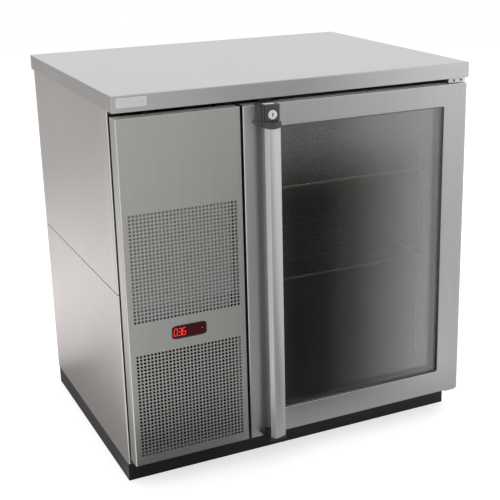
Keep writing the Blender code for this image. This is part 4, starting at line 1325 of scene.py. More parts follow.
@dataclass
class FrontPanel(Assembly):
    """Perforated panel in front of the machine bay, its top strip, seals and backing sheets."""

    fold: float = 0.0014
    fold_left: float = 0.0032
    flat: float = 0.0008
    sheet: float = 0.0012
    flange: float = 0.018
    hole: float = 0.0064
    count: int = 30
    band: int = 10
    pitch_x: float = 0.00878
    pitch_z: float = 0.00863
    centre_x: float = 0.1515
    lower_centre: float = 0.2200
    upper_centre: float = 0.5550
    window_x: float = 0.1530
    window_z: float = 0.3883
    window_width: float = 0.0866
    window_height: float = 0.0332
    corner_power: float = 8.0
    backing_set: float = 0.0040
    backing_reach: float = 0.004
    backing_corner: float = 0.004
    seal_inset: float = 0.0085
    seal_width: float = 0.0060
    seal_clear: float = 0.0005
    seal_corner: float = 0.0015
    seal_end: float = 0.003
    foot_rows: float = 3.5
    foot_set: float = 0.0120

    RIM = 2
    RING = np.array([(0, 0), (0, 1), (0, 2), (0, 3), (1, 3), (2, 3),
                     (3, 3), (3, 2), (3, 1), (3, 0), (2, 0), (1, 0)])
    TURNED_EDGE = ((0.0, 0.006), (0.0, 0.002), (0.0006, 0.0006), (0.002, 0.0))

    def sheet_surface(self) -> Surface:
        """The panel's skin.

        The face is a grid of lines a third of the hole pitch apart. Every three by three
        cells of a field become a ring between their edge and a circle. The display's
        window is a ring between a block of cells and a rounded opening. The grid's rim
        is carried round a quarter bend, along the wall and in along a flange.

        Returns:
            The open sheet.
        """
        box, origin = Extent.of("grille_panel"), Extent.of("counter_top").left
        parts, rim = 3 * self.count, np.array([self.fold, self.fold + self.flat])
        share = np.arange(parts + 1) / 3 - 0.5 * self.count
        field_x = origin + self.centre_x + self.pitch_x * share
        lower, upper = (
            centre + self.pitch_z * share for centre in (self.lower_centre, self.upper_centre)
        )
        band = np.linspace(lower[-1], upper[0], self.band + 1)[1:-1]
        left = box.left + self.fold_left + np.array([0.0, self.flat])
        lines_x = np.concatenate([left, field_x, box.right - rim[::-1]])
        lines_z = np.concatenate([box.bottom + rim, lower, band, upper, box.top - rim[::-1]])
        columns, rows = len(lines_x), len(lines_z)
        number = np.arange(rows * columns).reshape(rows, columns)
        fields = ((lower, self.RIM), (upper, self.RIM + parts + self.band))

        keep = np.ones((rows - 1, columns - 1), bool)
        for _, start in fields:
            keep[start : start + parts, self.RIM : -self.RIM] = False
        middle = np.array([origin + self.window_x, self.window_z])
        window = np.array([self.window_width, self.window_height])
        side = np.searchsorted(lines_x, middle[0] + np.array([-0.6, 0.6]) * window[0])
        tall = np.searchsorted(lines_z, middle[1] + np.array([-0.8, 0.8]) * window[1])
        keep[tall[0] : tall[1], side[0] : side[1]] = False
        net = rows_of(*np.meshgrid(lines_x, lines_z)).reshape(-1, 2)
        spots, faces = [net], [grid_faces(rows, columns, turn=False)[keep.reshape(-1)]]

        def cut(edge: Array, points: Array) -> None:
            """Join closed edges to new points inside them, one to one.

            Args:
                edge: numbers of the edges' points.
                points: the new points.
            """
            inner = sum(map(len, spots)) + np.arange(edge.size).reshape(edge.shape)
            spots.append(points.reshape(-1, 2))
            faces.append(ring_faces(edge, inner))

        turn = np.radians(225.0 + 30.0 * np.arange(12))
        hole = 0.5 * self.hole * rows_of(np.cos(turn), np.sin(turn))
        thirds = 3 * np.arange(self.count)
        up, along = np.meshgrid(thirds, thirds, indexing="ij")
        for heights, start in fields:
            edge_row = start + up[..., None] + self.RING[:, 0]
            edge_column = self.RIM + along[..., None] + self.RING[:, 1]
            spot = rows_of(field_x[along] + 0.5 * self.pitch_x, heights[up] + 0.5 * self.pitch_z)
            cut(number[edge_row, edge_column].reshape(-1, 12), spot.reshape(-1, 1, 2) + hole)
        block = number[tall[0] : tall[1] + 1, side[0] : side[1] + 1]
        edge = np.concatenate([block[0, :-1], block[:-1, -1], block[-1, :0:-1], block[:0:-1, 0]])
        away, power = net[edge] - middle, self.corner_power
        size = (np.abs(away / (0.5 * window)) ** power).sum(1) ** (-1.0 / power)
        cut(edge, middle + away * size[:, None])
        face = Surface(lift(np.concatenate(spots), Axis.Y, box.front), [np.concatenate(faces)])
        return face + self.rim_surface(box, lines_x, lines_z)

    def rim_surface(self, box: Extent, lines_x: Array, lines_z: Array) -> Surface:
        """Bend, wall and flange round the face.

        A rim point moves out along its side's direction by the bend's sine and back by one
        less its cosine; at a corner the direction swings through the quarter turn. The left
        side's bend is the wider one. The last loop is drawn in to the flange's edge.

        Args:
            box: the panel's extent.
            lines_x: the face's upright lines.
            lines_z: the face's level lines.

        Returns:
            The open sheet from the face's rim to the flange's edge.
        """
        swing = np.radians(np.linspace(0.0, 90.0, 5))[1:-1]
        runs = [(lines_x, lines_z[:1]), (lines_x[-1:], lines_z)]
        runs += [(lines_x[::-1], lines_z[-1:]), (lines_x[:1], lines_z[::-1])]
        at, facing = [], []
        for (across, up), degrees in zip(runs, (-90.0, 0.0, 90.0, 180.0)):
            run = rows_of(across, up)
            at += [run, np.repeat(run[-1:], len(swing), axis=0)]
            facing += [np.full(len(run), math.radians(degrees)), math.radians(degrees) + swing]
        spots, angle = np.concatenate(at), np.concatenate(facing)
        out = self.fold * rows_of(np.cos(angle), np.sin(angle))
        out[:, 0] *= np.where(out[:, 0] < 0.0, self.fold_left / self.fold, 1.0)
        deep = np.linalg.norm(out, axis=1)
        loops = [
            lift(spots + math.sin(turn) * out, Axis.Y, box.front + (1.0 - math.cos(turn)) * deep)
            for turn in np.radians(np.linspace(0.0, 90.0, 6))
        ]
        low = np.array([box.left, box.bottom]) + self.flange
        high = np.array([box.right, box.top]) - self.flange
        edge = spots + out
        loops += [lift(line, Axis.Y, box.back) for line in (edge, np.clip(edge, low, high))]
        return loft(loops[::-1], caps=False)

    def backing(self, low_row: float, high_row: float, behind: float) -> Surface:
        """A sheet with turned edges behind the upper field, short of its last columns.

        Args:
            low_row: row of holes where it starts.
            high_row: row of holes where it ends.
            behind: its distance behind the panel's sheet.

        Returns:
            The sheet's skin.
        """
        centre = Extent.of("counter_top").left + self.centre_x
        front = Extent.of("grille_panel").front + self.sheet + behind
        half_x, half_z = 0.5 * self.count * self.pitch_x, 0.5 * self.count * self.pitch_z
        low, high = (
            self.upper_centre - half_z + row * self.pitch_z for row in (low_row, high_row)
        )
        left, right = centre - half_x - self.backing_reach, centre + half_x - 2.0 * self.pitch_x
        edge = Outline(left, low, right, high, Axis.Y, self.backing_corner)
        return edge.carried(self.TURNED_EDGE, front)

    def seals(self) -> Surface:
        """Two upright strips behind the panel's flanges, just short of the posts.

        Returns:
            Both strips as one skin.
        """
        box, width = Extent.of("grille_panel"), self.seal_width
        back = Extent.of("left_lower_panel").front - self.seal_clear
        starts = box.left + self.seal_inset, box.right - self.seal_inset - width
        plans = [rectangle(left, box.back, left + width, back) for left in starts]
        ends = box.bottom + self.seal_end, box.top - self.seal_end
        return joined(prism(rounded(plan, self.seal_corner, 3), Axis.Z, *ends) for plan in plans)

    def pieces(self) -> list[Piece]:
        """The perforated sheet, its top strip, its seals and its backing.

        Returns:
            The panel's pieces.
        """
        box, body = Extent.of("grille_panel"), "grille_panel"
        strip = top_strip(box, box.left + STRIP_END, box.right - STRIP_END)
        backing = self.backing(self.foot_rows, self.count + 0.5, self.backing_set)
        foot = self.backing(-0.5, self.foot_rows + 0.4, self.foot_set)
        return [
            Piece("grille_top_strip", strip, Finishes.STRIP, body, "grey_plastic"),
            Piece("grille_panel_sheet", self.sheet_surface(), Finishes.PANEL, body, "panel_steel",
                  ("grille_panel",), solid=False, wall=self.sheet),
            Piece("grille_seals", self.seals(), Finishes.RUBBER, body, "rubber"),
            Piece("grille_backing", backing, Finishes.BACKING, body, "zinc_sheet"),
            Piece("grille_backing_foot", foot, Finishes.CASE, body, "zinc_sheet"),
        ]


@dataclass
class Display(Assembly):
    """Temperature display: dark rim, dark red cover, three digits and a dot."""

    rim: float = 0.0028
    rim_roll: float = 0.0004
    corner: float = 0.006
    rise: float = 0.0005
    digit_height: float = 0.0170
    digit_width: float = 0.0078
    digit_pitch: float = 0.0102
    stroke: float = 0.0017
    stroke_gap: float = 0.22
    lean: float = 0.10
    shown: str = "036"
    first_digit: float = 0.0048
    dot_radius: float = 0.0012
    dot_inset: float = 0.0110

    STROKES = {"0": "abcdef", "3": "abcdg", "6": "acdefg"}
    ENDS = {
        "a": ((0, 1), (1, 1)), "b": ((1, 1), (1, 0.5)), "c": ((1, 0.5), (1, 0)),
        "d": ((0, 0), (1, 0)), "e": ((0, 0.5), (0, 0)), "f": ((0, 1), (0, 0.5)),
        "g": ((0, 0.5), (1, 0.5)),
    }

    def edge(self, least: float) -> Outline:
        """The unit's edge, with the least radius its corners come down to."""
        box = Extent.of("display_unit")
        return Outline(box.left, box.bottom, box.right, box.top, Axis.Y, self.corner, least)

    def frame_ring(self) -> Surface:
        """A rim whose section is a low rounded step, carried round the cover.

        Returns:
            The rim's skin.
        """
        front, rim, roll = Extent.of("display_unit").front, self.rim, self.rim_roll
        rows = [(0.0, 0.0), (0.0, 0.8), (roll, 1.0), (rim - roll, 1.0), (rim, 0.6), (rim, 0.0)]
        return self.edge(0.001).carried(rows, front, -self.rise, ring=True)

    def cover(self) -> Surface:
        """The cover inside the rim, slightly domed towards its middle.

        Returns:
            The cover's skin.
        """
        section = ((0.0, 0.0), (0.0, 0.3), (0.002, 0.38), (0.006, 0.4))
        rows = [(self.rim + inset, proud) for inset, proud in section]
        return self.edge(0.0012).carried(rows, Extent.of("display_unit").front, -self.rise)

    def bar(self, stroke: str, place: int) -> Surface:
        """One stroke of a figure: a pointed bar, sheared to lean with its height.

        Args:
            stroke: the stroke's letter.
            place: the figure's place in the number.

        Returns:
            The bar's skin.
        """
        box, half = Extent.of("display_unit"), 0.5 * self.stroke
        start, end = np.array(self.ENDS[stroke], float) * (self.digit_width, self.digit_height)
        along = (end - start) / np.linalg.norm(end - start)
        gap, tip = self.stroke_gap * self.stroke * along, half * along
        start, end, across = start + gap, end - gap, half * np.array([-along[1], along[0]])
        near, far = start + tip, end - tip
        outline = np.array([start, near + across, far + across, end, far - across, near - across])
        outline[:, 0] += self.lean * outline[:, 1]
        low = 0.5 * (box.bottom + box.top - self.digit_height)
        outline += (box.left + self.first_digit + place * self.digit_pitch, low)
        face = box.front - 0.42 * self.rise
        return prism(outline, Axis.Y, face, face - 0.12 * self.rise)

    def digits(self) -> Surface:
        """The strokes of the shown number."""
        figures = [(self.STROKES[figure], place) for place, figure in enumerate(self.shown)]
        return joined(self.bar(stroke, place) for strokes, place in figures for stroke in strokes)

    def dot(self) -> Surface:
        """A small domed lamp near the right end.

        Returns:
            The lamp's skin.
        """
        box, radius, height = Extent.of("display_unit"), self.dot_radius, 0.3 * self.rise
        middle = 0.5 * (box.bottom + box.top)
        centre = (box.right - self.dot_inset, box.front - 0.4 * self.rise, middle)
        profile = [(radius, 0.0), (0.8 * radius, -0.7 * height), (0.4 * radius, -height)]
        return revolve(profile + [(0.0, -height)], Axis.Y, centre, 20)

    def pieces(self) -> list[Piece]:
        """Rim, cover, digits and dot.

        Returns:
            The pieces in that order.
        """
        return [
            Piece("display_rim", self.frame_ring(), Finishes.BEZEL, "cabinet", "display_black"),
            Piece("display_cover", self.cover(), Finishes.LENS, "cabinet", "display_black"),
            Piece("display_digits", self.digits(), Finishes.DIGIT, "cabinet", "light"),
            Piece("display_dot", self.dot(), Finishes.DOT, "cabinet", "light"),
        ]

    def solids(self) -> Solids:
        """The unit behind the rim."""
        return {Finishes.BEZEL: ["display_unit"]}


@dataclass
class Door(Assembly):
    """Steel framed glass door with its bead, gasket and inner trim."""

    stile: float = 0.065
    rail_low: float = 0.0615
    rail_high: float = 0.0545
    window_corner: float = 0.005
    lip: float = 0.005
    seat: float = 0.014
    fold: float = 0.0014
    left_share: float = 1.8
    edge: float = 0.0010
    back_edge: float = 0.001
    outer_corner: float = 0.0022
    flat: float = 0.0008
    bead_width: float = 0.0026
    bead_rise: float = 0.0038
    bead_clear: float = 0.0003
    plate_reach: float = 0.019
    plate_thick: float = 0.0030
    plate_clear: float = 0.0013
    plate_corner: float = 0.0012
    screw_radius: float = 0.0028
    screw_shares: Span = (0.30, 0.72)
    gasket_width: float = 0.018
    bolt_clear: float = 0.0006
    strip_short: float = 0.022

    BELLOWS = [(0.0, 0.0), (0.0, 0.36), (0.0032, 0.52), (0.0014, 0.68), (0.0014, 0.96),
               (0.0022, 1.0)]
    HEAD = np.array([(1.0, 0.0), (1.0, -0.20), (0.7, -0.30), (0.3, -0.30), (0.25, 0.1), (0.0, 0.1)])

    def outer(self, inset: float, depth: float) -> Array:
        """The door's outline; its left side moves in further along the bend.

        Args:
            inset: how far each side is drawn in.
            depth: how far behind the door's face.

        Returns:
            The outline's points.
        """
        box = Extent.of("door_frame")
        left = box.left + inset * (self.left_share if inset <= self.fold + self.flat else 1.0)
        corners = rectangle(left, box.bottom + inset, box.right - inset, box.top - inset)
        outline = rounded(corners, max(self.outer_corner - inset, 0.0004))
        return lift(outline, Axis.Y, box.front + depth)

    def window(self, grow: float, depth: float) -> Array:
        """The window's outline.

        Args:
            grow: how far it is let out.
            depth: how far behind the door's face.

        Returns:
            The outline's points.
        """
        box = Extent.of("door_frame")
        left, right = box.left + self.stile, box.right - self.stile
        low, high = box.bottom + self.rail_low, box.top - self.rail_high
        opening = Outline(left, low, right, high, Axis.Y, self.window_corner, 0.001)
        return opening.at(-grow, box.front + depth)

    def frame_skin(self) -> Surface:
        """Section of the frame carried round: window edge, face, bend, wall, back, glass seat.

        Two points on every loop and two loops on the wall bound the mouth of the bolt's
        pocket in the top.

        Returns:
            The frame's skin.
        """
        box, bolt = Extent.of("door_frame"), Extent.of("lock_bolt")
        deep, clear = box.back - box.front, self.bolt_clear
        inner = [self.window(0.0, self.lip)]
        inner += [self.window(inset, drop) for inset, drop in bend(self.edge, 3)]
        inner += [self.window(self.edge + self.flat, 0.0)]
        outer = [self.outer(self.fold + self.flat, 0.0)]
        outer += [self.outer(inset, drop) for inset, drop in bend(self.fold)[::-1]]
        row = len(inner) + len(outer)
        sides = bolt.front - clear, bolt.back + clear
        outer += [self.outer(0.0, place - box.front) for place in sides]
        outer += [self.outer(0.0, deep - self.back_edge), self.outer(self.back_edge, deep)]
        seat = [self.window(self.seat, deep), self.window(self.seat, self.lip)]
        corner = 3 * len(seat[0]) // 4

        def beside(loop: Array) -> Array:
            """A window's loop with its two points next to the corner."""
            return marked(loop, loop[corner, 0] + 0.004, loop[corner, 0] + 0.002)

        wall = [marked(loop, bolt.right + clear, bolt.left - clear) for loop in outer]
        loops = [beside(loop) for loop in inner] + wall + [beside(loop) for loop in seat]
        return sunk(loft(loops, ring=True), row * len(loops[0]) + corner, bolt.bottom - clear)

    def strip(self) -> Surface:
        """The top strip, parted where the bolt rises.

        Returns:
            Both parts as one skin.
        """
        box, bolt = Extent.of("door_frame"), Extent.of("lock_bolt")
        end = Extent.of("upper_hinge_bracket").left - self.strip_short
        left = top_strip(box, box.left + STRIP_END, bolt.left - self.bolt_clear)
        return left + top_strip(box, bolt.right + self.bolt_clear, end)

    def bead(self) -> Surface:
        """A sloping bead between the window's edge and the glass.

        Returns:
            The bead's skin.
        """
        clear, lip, width = self.bead_clear, self.lip, self.bead_width
        section = [(-clear, lip - clear), (-clear, lip - self.bead_rise)]
        section += [(-0.0012, lip - self.bead_rise - 0.0003), (-width + 0.0010, lip - 0.0012)]
        section += [(-width, lip - 0.0006), (-width, lip - clear)]
        return loft([self.window(*step) for step in section], ring=True)

    def gasket(self) -> Surface:
        """A bellows section, the same on both sides, carried round the back of the door.

        Returns:
            The gasket's skin.
        """
        door, box = Extent.of("door_frame"), Extent.of("door_gasket")
        start, deep, side = box.front - door.front, box.back - box.front, box.left - door.left
        far = [(self.gasket_width - inset, share) for inset, share in self.BELLOWS[::-1]]
        rows = [(side + inset, start + share * deep) for inset, share in self.BELLOWS + far]
        return loft([self.outer(*row) for row in rows], ring=True)

    def hinge_plate(self) -> Surface:
        """The upper hinge's front plate: a rounded bar in the gap above the door.

        Returns:
            The plate's skin.
        """
        box, low = Extent.of("upper_hinge_bracket"), Extent.of("door_frame").top + self.plate_clear
        sides = box.left - self.plate_reach, low, box.right, box.top
        section = ((0.0, 0.0), (0.0, 0.8), (0.0004, 0.95), (0.0010, 1.0))
        edge = Outline(*sides, Axis.Y, self.plate_corner, steps=3)
        return edge.carried(section, box.front, -self.plate_thick)

    def hinge_screws(self) -> Surface:
        """Two dark screws in the upper hinge's front plate.

        Returns:
            Both screws as one skin.
        """
        door, box = Extent.of("door_frame"), Extent.of("upper_hinge_bracket")
        one = revolve(self.screw_radius * self.HEAD, Axis.Y, (0.0, 0.0, 0.0), 16)
        middle = 0.5 * (door.top + self.plate_clear + box.top)
        places = np.interp(self.screw_shares, [0.0, 1.0], [box.left - self.plate_reach, box.right])
        return one.repeated(rows_of(places, box.front - self.plate_thick, middle))

    def pieces(self) -> list[Piece]:
        """Frame, top strip, bead, gasket and the upper hinge's front plate.

        Returns:
            The door's pieces.
        """
        return [
            Piece("door_top_strip", self.strip(), Finishes.STRIP, "door", "grey_plastic"),
            Piece("upper_hinge_plate", self.hinge_plate(), Finishes.BRIGHT, "cabinet",
                  "zinc_sheet"),
            Piece("upper_hinge_screws", self.hinge_screws(), Finishes.MACHINE, "cabinet",
                  "machine_black"),
            Piece("door_frame_skin", self.frame_skin(), Finishes.DOOR, "door", "door_steel",
                  ("door_frame",)),
            Piece("glazing_bead", self.bead(), Finishes.BEAD, "door", "rubber", ("glazing_seal",)),
            Piece("door_gasket_bellows", self.gasket(), Finishes.RUBBER, "door", "rubber",
                  ("door_gasket",), crease=60.0),
        ]

    def solids(self) -> Solids:
        """Panes, spacer, inner trim and hinge plates.

        Returns:
            Their names by finish.
        """
        return {
            Finishes.GLASS: ["glass_outer", "glass_inner"],
            Finishes.SPACER: ["glass_spacer"],
            Finishes.CHARCOAL: ["door_inner_trim"],
            Finishes.ZINC: ["upper_hinge_bracket", "lower_hinge_bracket"],
        }


@dataclass
class Handle(Assembly):
    """Full-height drawn handle with its lower cap, lock block and cylinder."""

    wall: float = 0.005
    nose_in: float = 0.0075
    nose_back: float = 0.0100
    nose_lip: float = 0.0015
    facet: float = 0.0070
    slope: float = 0.0070
    foot: float = 0.0008
    cove_low: float = 0.0045
    wing: float = 0.0100
    wing_depth: float = 0.0080
    cap_crown: float = 0.0042
    cap_left: float = 0.0015
    cap_prong: float = 0.006
    plug_rise: float = 0.0195
    plug_clear: float = 0.0006
    back_left: float = 0.0085
    front_left: float = 0.0155
    block_right: float = 0.0518
    block_proud: float = 0.0400
    block_roll: float = 0.0014
    lip_rise: float = 0.0125
    lip_sag: float = 0.0030
    lip_left: float = 0.0007
    wing_low: float = 0.0010
    wing_tip: float = 0.0085
    wing_high: float = 0.0190
    groove: float = 0.0036
    groove_wide: float = 0.0044
    groove_places: Span = (0.92, 0.62)
    neck: float = 0.0022
    neck_rise: float = 0.0020
    plate_span: Span = (0.0165, 0.0435)
    plate_depth: Span = (0.0205, 0.0320)
    plate_thick: float = 0.0009
    key_long: float = 0.0085
    key_wide: float = 0.0030
    key_deep: float = 0.0030
    key_shade_inset: float = 0.00012
    keeper_thick: float = 0.0026
    keeper_corner: float = 0.0012

    FACE = ((0.55, 0.0), (0.70, 0.0), (0.715, 0.0003), (0.735, 0.0003), (0.75, 0.0),
            (0.90, 0.0001), (0.97, 0.0005), (1.00, 0.0014))

    def crowned(self, right: float, left: float, depth: float, rise: float) -> Array:
        """Front of a plan: a depth plus a rise times four times share times the rest.

        Args:
            right: where the front starts.
            left: where it ends.
            depth: distance of both ends from the door.
            rise: how much further the middle stands out.

        Returns:
            The front's points.
        """
        share = np.linspace(0.0, 1.0, 11)
        bow = depth + 4.0 * rise * share * (1.0 - share)
        return rows_of(right + (left - right) * share, bow)

    def plan(self, outline: Array, node: str) -> Array:
        """Turn (from the left, from the door) into the frame's X and Y."""
        box = Extent.of(node)
        return rows_of(box.left + outline[:, 0], box.back - outline[:, 1])

    def bar(self) -> Surface:
        """The drawn section.

        The front falls from its ridge to the right by a power of the way across. A
        facet leads from the ridge to the nose. The inside is a quarter of an ellipse
        from the thin foot on the door to the right wall.

        Returns:
            The bar's skin.
        """
        box = Extent.of("handle_bar")
        width, front = box.right - box.left, box.back - box.front
        ridge, nose = self.nose_in + self.facet, front - self.nose_back
        inner, reach = nose - self.nose_lip, width - self.wall
        share = np.linspace(1.0, 0.0, 11)
        fall = rows_of(ridge + (width - ridge) * share, front - self.slope * share**2)
        turn, top = np.linspace(0.5 * np.pi, 0.0, 15), inner - self.cove_low
        cove = rows_of(
            reach * np.sin(turn), self.foot + (top - self.foot) * (1.0 - np.cos(turn))
        )
        lip = [(self.nose_in, nose), (self.nose_in, inner), (reach - self.cove_low, inner)]
        corners = np.vstack([[(0.0, 0.0), (width, 0.0)], fall, lip, cove])
        radii = [0.0002, 0.0003, 0.0042, *[0.0] * 9, 0.0006, 0.0020, 0.0005, *[0.0] * 16]
        outline = self.plan(rounded(corners, radii, 8), "handle_bar")
        return prism(outline, Axis.Z, box.bottom, box.top)

    def bottom_cap(self) -> Surface:
        """The lower cap: a thin slab under the bar, a plug in its hollow, a prong on the door.

        Returns:
            All three as one skin.
        """
        cap, bar = Extent.of("handle_bottom_cap"), Extent.of("handle_bar")
        width, depth = bar.right - bar.left, cap.back - cap.front - self.cap_crown
        crown = self.crowned(width, self.cap_left, depth, 0.5 * self.cap_crown)
        corners = np.vstack([[(0.0, 0.0), (width, 0.0)], crown])
        radii = [0.0004, 0.0006, 0.0045, *[0.0] * 9, 0.0040]
        slab = self.plan(rounded(corners, radii, 6), "handle_bar")
        nose = bar.back - bar.front - self.nose_back - self.nose_lip
        high, right = nose - self.plug_clear, 0.80 * width
        corners = [(self.cap_left, 0.0012), (0.55 * width, 0.0012), (right, 0.5 * nose)]
        corners += [(right, high), (self.nose_in + self.plug_clear, high)]
        plug = self.plan(rounded(corners, 0.0008, 4), "handle_bar")
        whole = prism(slab, Axis.Z, cap.bottom, cap.top)
        whole = whole + prism(plug, Axis.Z, cap.top, cap.bottom + self.plug_rise)
        return whole + self.prong("handle_bottom_cap", self.cap_prong)

    def lip(self) -> Surface:
        """The rounded ledge along the foot of the lock block, bowed to the front and down.

        Returns:
            The ledge's skin.
        """
        box = Extent.of("lock_housing")
        left, right = self.front_left - self.lip_left, box.right - box.left
        depth = box.back - box.front - self.cap_crown
        crown = self.crowned(right, left, depth, self.cap_crown)
        corners = np.vstack([[(left, 0.0), (right, 0.0)], crown])
        radii = [0.0004, 0.0006, 0.0060, *[0.0] * 9, 0.0040]
        outline = self.plan(rounded(corners, radii, 6), "lock_housing")
        made = prism(outline, Axis.Z, box.bottom, box.bottom + self.lip_rise)
        share = np.clip((made.points[:, 0] - box.left - left) / (right - left), 0.0, 1.0)
        sag = 4.0 * self.lip_sag * share * (1.0 - share)
        lower = made.points[:, 2] < box.bottom + 0.5 * self.lip_rise
        made.points[:, 2] -= np.where(lower, sag, 0.0)
        return made

    def prong(self, node: str, rise: float = 0.0) -> Surface:
        """A pointed prong on the door, left of the bar: loops that shrink towards the tip.

        Args:
            node: the solid that carries it.
            rise: height of its foot above the solid's foot.

        Returns:
            The prong's skin.
        """
        box, loops = Extent.of(node), []
        for share in np.linspace(0.0, 1.0, 6):
            across = self.wing + 0.002 - (self.wing + 0.0015) * share
            low = rise + self.wing_low + (self.wing_tip - 0.001 - self.wing_low) * share
            high = rise + self.wing_high + (self.wing_tip + 0.001 - self.wing_high) * share
            deep = self.wing_depth * (1.0 - 0.75 * share)
            corners = rectangle(box.back - deep, box.bottom + low, box.back, box.bottom + high)
            loops.append(lift(rounded(corners, 0.0006, 3), Axis.X, box.left + across))
        return loft(loops)

    def block(self) -> Surface:
        """The lock block: a plan with two upright grooves on its left, carried up.

        It has a neck over the lip, and its top is drawn in.

        Returns:
            The block's skin.
        """
        box, half = Extent.of("lock_housing"), 0.5 * self.groove_wide
        left, right, deep = self.back_left, self.block_right, self.block_proud
        lean = (self.front_left - left) / deep
        corners = [(left, 0.0), (right, 0.0), (right, deep), (self.front_left, deep)]
        for place in self.groove_places:
            at = place * deep
            edge = left + lean * at
            floor = edge + self.groove
            corners += [(edge + lean * half, at + half), (floor, at + 0.8 * half)]
            corners += [(floor, at - 0.8 * half), (edge - lean * half, at - half)]
        outline = rounded(corners, [0.0005, 0.0005, 0.0022, 0.0004, *[0.0003] * 8], 5)
        middle = np.array([0.5 * (left + right), 0.5 * deep])
        neck = box.bottom + self.lip_rise + self.neck_rise
        steps = [(0.0, box.bottom), (0.0, neck - self.neck_rise - self.neck)]
        steps += [(self.neck, neck - self.neck_rise), (self.neck, neck), (0.0, neck + self.neck)]
        steps += [(inset, box.top - drop) for inset, drop in bend(self.block_roll, 4)]
        loops = []
        for inset, height in steps:
            scale = 1.0 - inset / (0.5 * np.array([right - left, deep]))
            flat = self.plan(middle + (outline - middle) * scale, "lock_housing")
            loops.append(lift(flat, Axis.Z, height))
        return loft(loops)

    def top_plate(self) -> Surface:
        """A thin rounded plate on the top of the block, with its edge rolled over.

        Returns:
            The plate's skin.
        """
        top, loops = Extent.of("lock_housing").top, []
        low, high = np.stack([self.plate_span, self.plate_depth], axis=-1)
        for inset, height in ((0.0, 0.0), (0.0, 0.6), (0.0003, 0.9), (0.0009, 1.0)):
            corners = rectangle(*(low + inset), *(high - inset))
            flat = self.plan(rounded(corners, 0.0020), "lock_housing")
            loops.append(lift(flat, Axis.Z, top + height * self.plate_thick))
        return loft(loops)

    def slot_outline(self, inset: float) -> Array:
        """Upright key slot: where rays at equal turns meet a sixth power ellipse.

        Args:
            inset: how far the outline is drawn in.

        Returns:
            The outline's points about its middle.
        """
        flat = circle(64)
        half = 0.5 * np.array([self.key_wide, self.key_long]) - inset
        return flat * ((np.abs(flat / half) ** 6.0).sum(1) ** (-1.0 / 6.0))[:, None]

    def cylinder(self) -> Surface:
        """Lock cylinder: loops from the key slot over the face and its rounded rim to the wall.

        Returns:
            The cylinder's skin.
        """
        box, slot = Extent.of("lock_cylinder"), self.slot_outline(0.0)
        middle, radius, face = box.middle(), 0.5 * (box.right - box.left), box.front
        loops = [lift(slot, Axis.Y, face + depth) for depth in (self.key_deep, 0.0003)]
        section = [*self.FACE, (1.00, box.back - face)]
        loops += [
            lift(radius * share * circle(len(slot)), Axis.Y, face + depth)
            for share, depth in section
        ]
        return loft(loops).moved((middle[0], 0.0, middle[2]))

    def keyway(self) -> Surface:
        """Painted shade in the key slot: a near-black skin over its walls and its floor.

        Returns:
            The lining's skin.
        """
        box = Extent.of("lock_cylinder")
        middle, outline = box.middle(), self.slot_outline(self.key_shade_inset)
        deep, mouth = box.front + self.key_deep - 0.0001, box.front + 0.0006
        return prism(outline, Axis.Y, deep, mouth).moved((middle[0], 0.0, middle[2]))

    def keeper_plate(self) -> Surface:
        """The keeper's flat tongue, with a rolled front edge.

        Returns:
            The tongue's skin.
        """
        box, half = Extent.of("lock_keeper"), 0.5 * self.keeper_thick
        turn = np.radians(np.linspace(90.0, 270.0, 9))
        nose = rows_of(half * np.cos(turn) + box.front + half, half * np.sin(turn))
        section = np.vstack([nose, [(box.back, -half), (box.back, half)]])
        section[:, 1] += box.bottom + half
        return prism(section, Axis.X, box.left, box.right)

    def keeper_bracket(self) -> Surface:
        """The keeper's upright, which hangs from the top.

        Returns:
            The upright's skin.
        """
        box, thick = Extent.of("lock_keeper"), self.keeper_thick
        corners = rectangle(box.left, box.back - thick, box.right, box.back)
        outline = rounded(corners, self.keeper_corner, 4)
        return prism(outline, Axis.Z, box.bottom + thick, box.top)

    def pieces(self) -> list[Piece]:
        """Bar, cap, lock block with lip, cylinder, keyway and keeper.

        Returns:
            The handle's pieces.
        """
        block = self.block() + self.prong("lock_housing")
        return [
            Piece("keeper_tongue", self.keeper_plate(), Finishes.MACHINE, "cabinet",
                  "machine_black", ("lock_keeper",)),
            Piece("keeper_upright", self.keeper_bracket(), Finishes.MACHINE, "cabinet",
                  "machine_black"),
            Piece("handle_bar_drawn", self.bar(), Finishes.HANDLE, "door", "handle_aluminium",
                  ("handle_bar",), crease=30.0),
            Piece("handle_bottom_cap_moulded", self.bottom_cap(), Finishes.CAP, "door",
                  "lock_charcoal", ("handle_bottom_cap",), edge=0.0008),
            Piece("lock_block", block, Finishes.LOCK, "door", "lock_charcoal",
                  ("lock_housing",), crease=30.0),
            Piece("lock_top_plate", self.top_plate(), Finishes.BRIGHT, "door", "chrome"),
            Piece("lock_lip", self.lip(), Finishes.LOCK, "door", "lock_charcoal", edge=0.0022),
            Piece("lock_cylinder_face", self.cylinder(), Finishes.BRIGHT, "lock_cylinder",
                  "chrome", ("lock_cylinder",)),
            Piece("lock_keyway", self.keyway(), Finishes.KEYWAY_SHADE, "lock_cylinder", "display_black"),
        ]

    def solids(self) -> Solids:
        """The bolt."""
        return {Finishes.CHROME: ["lock_bolt"]}


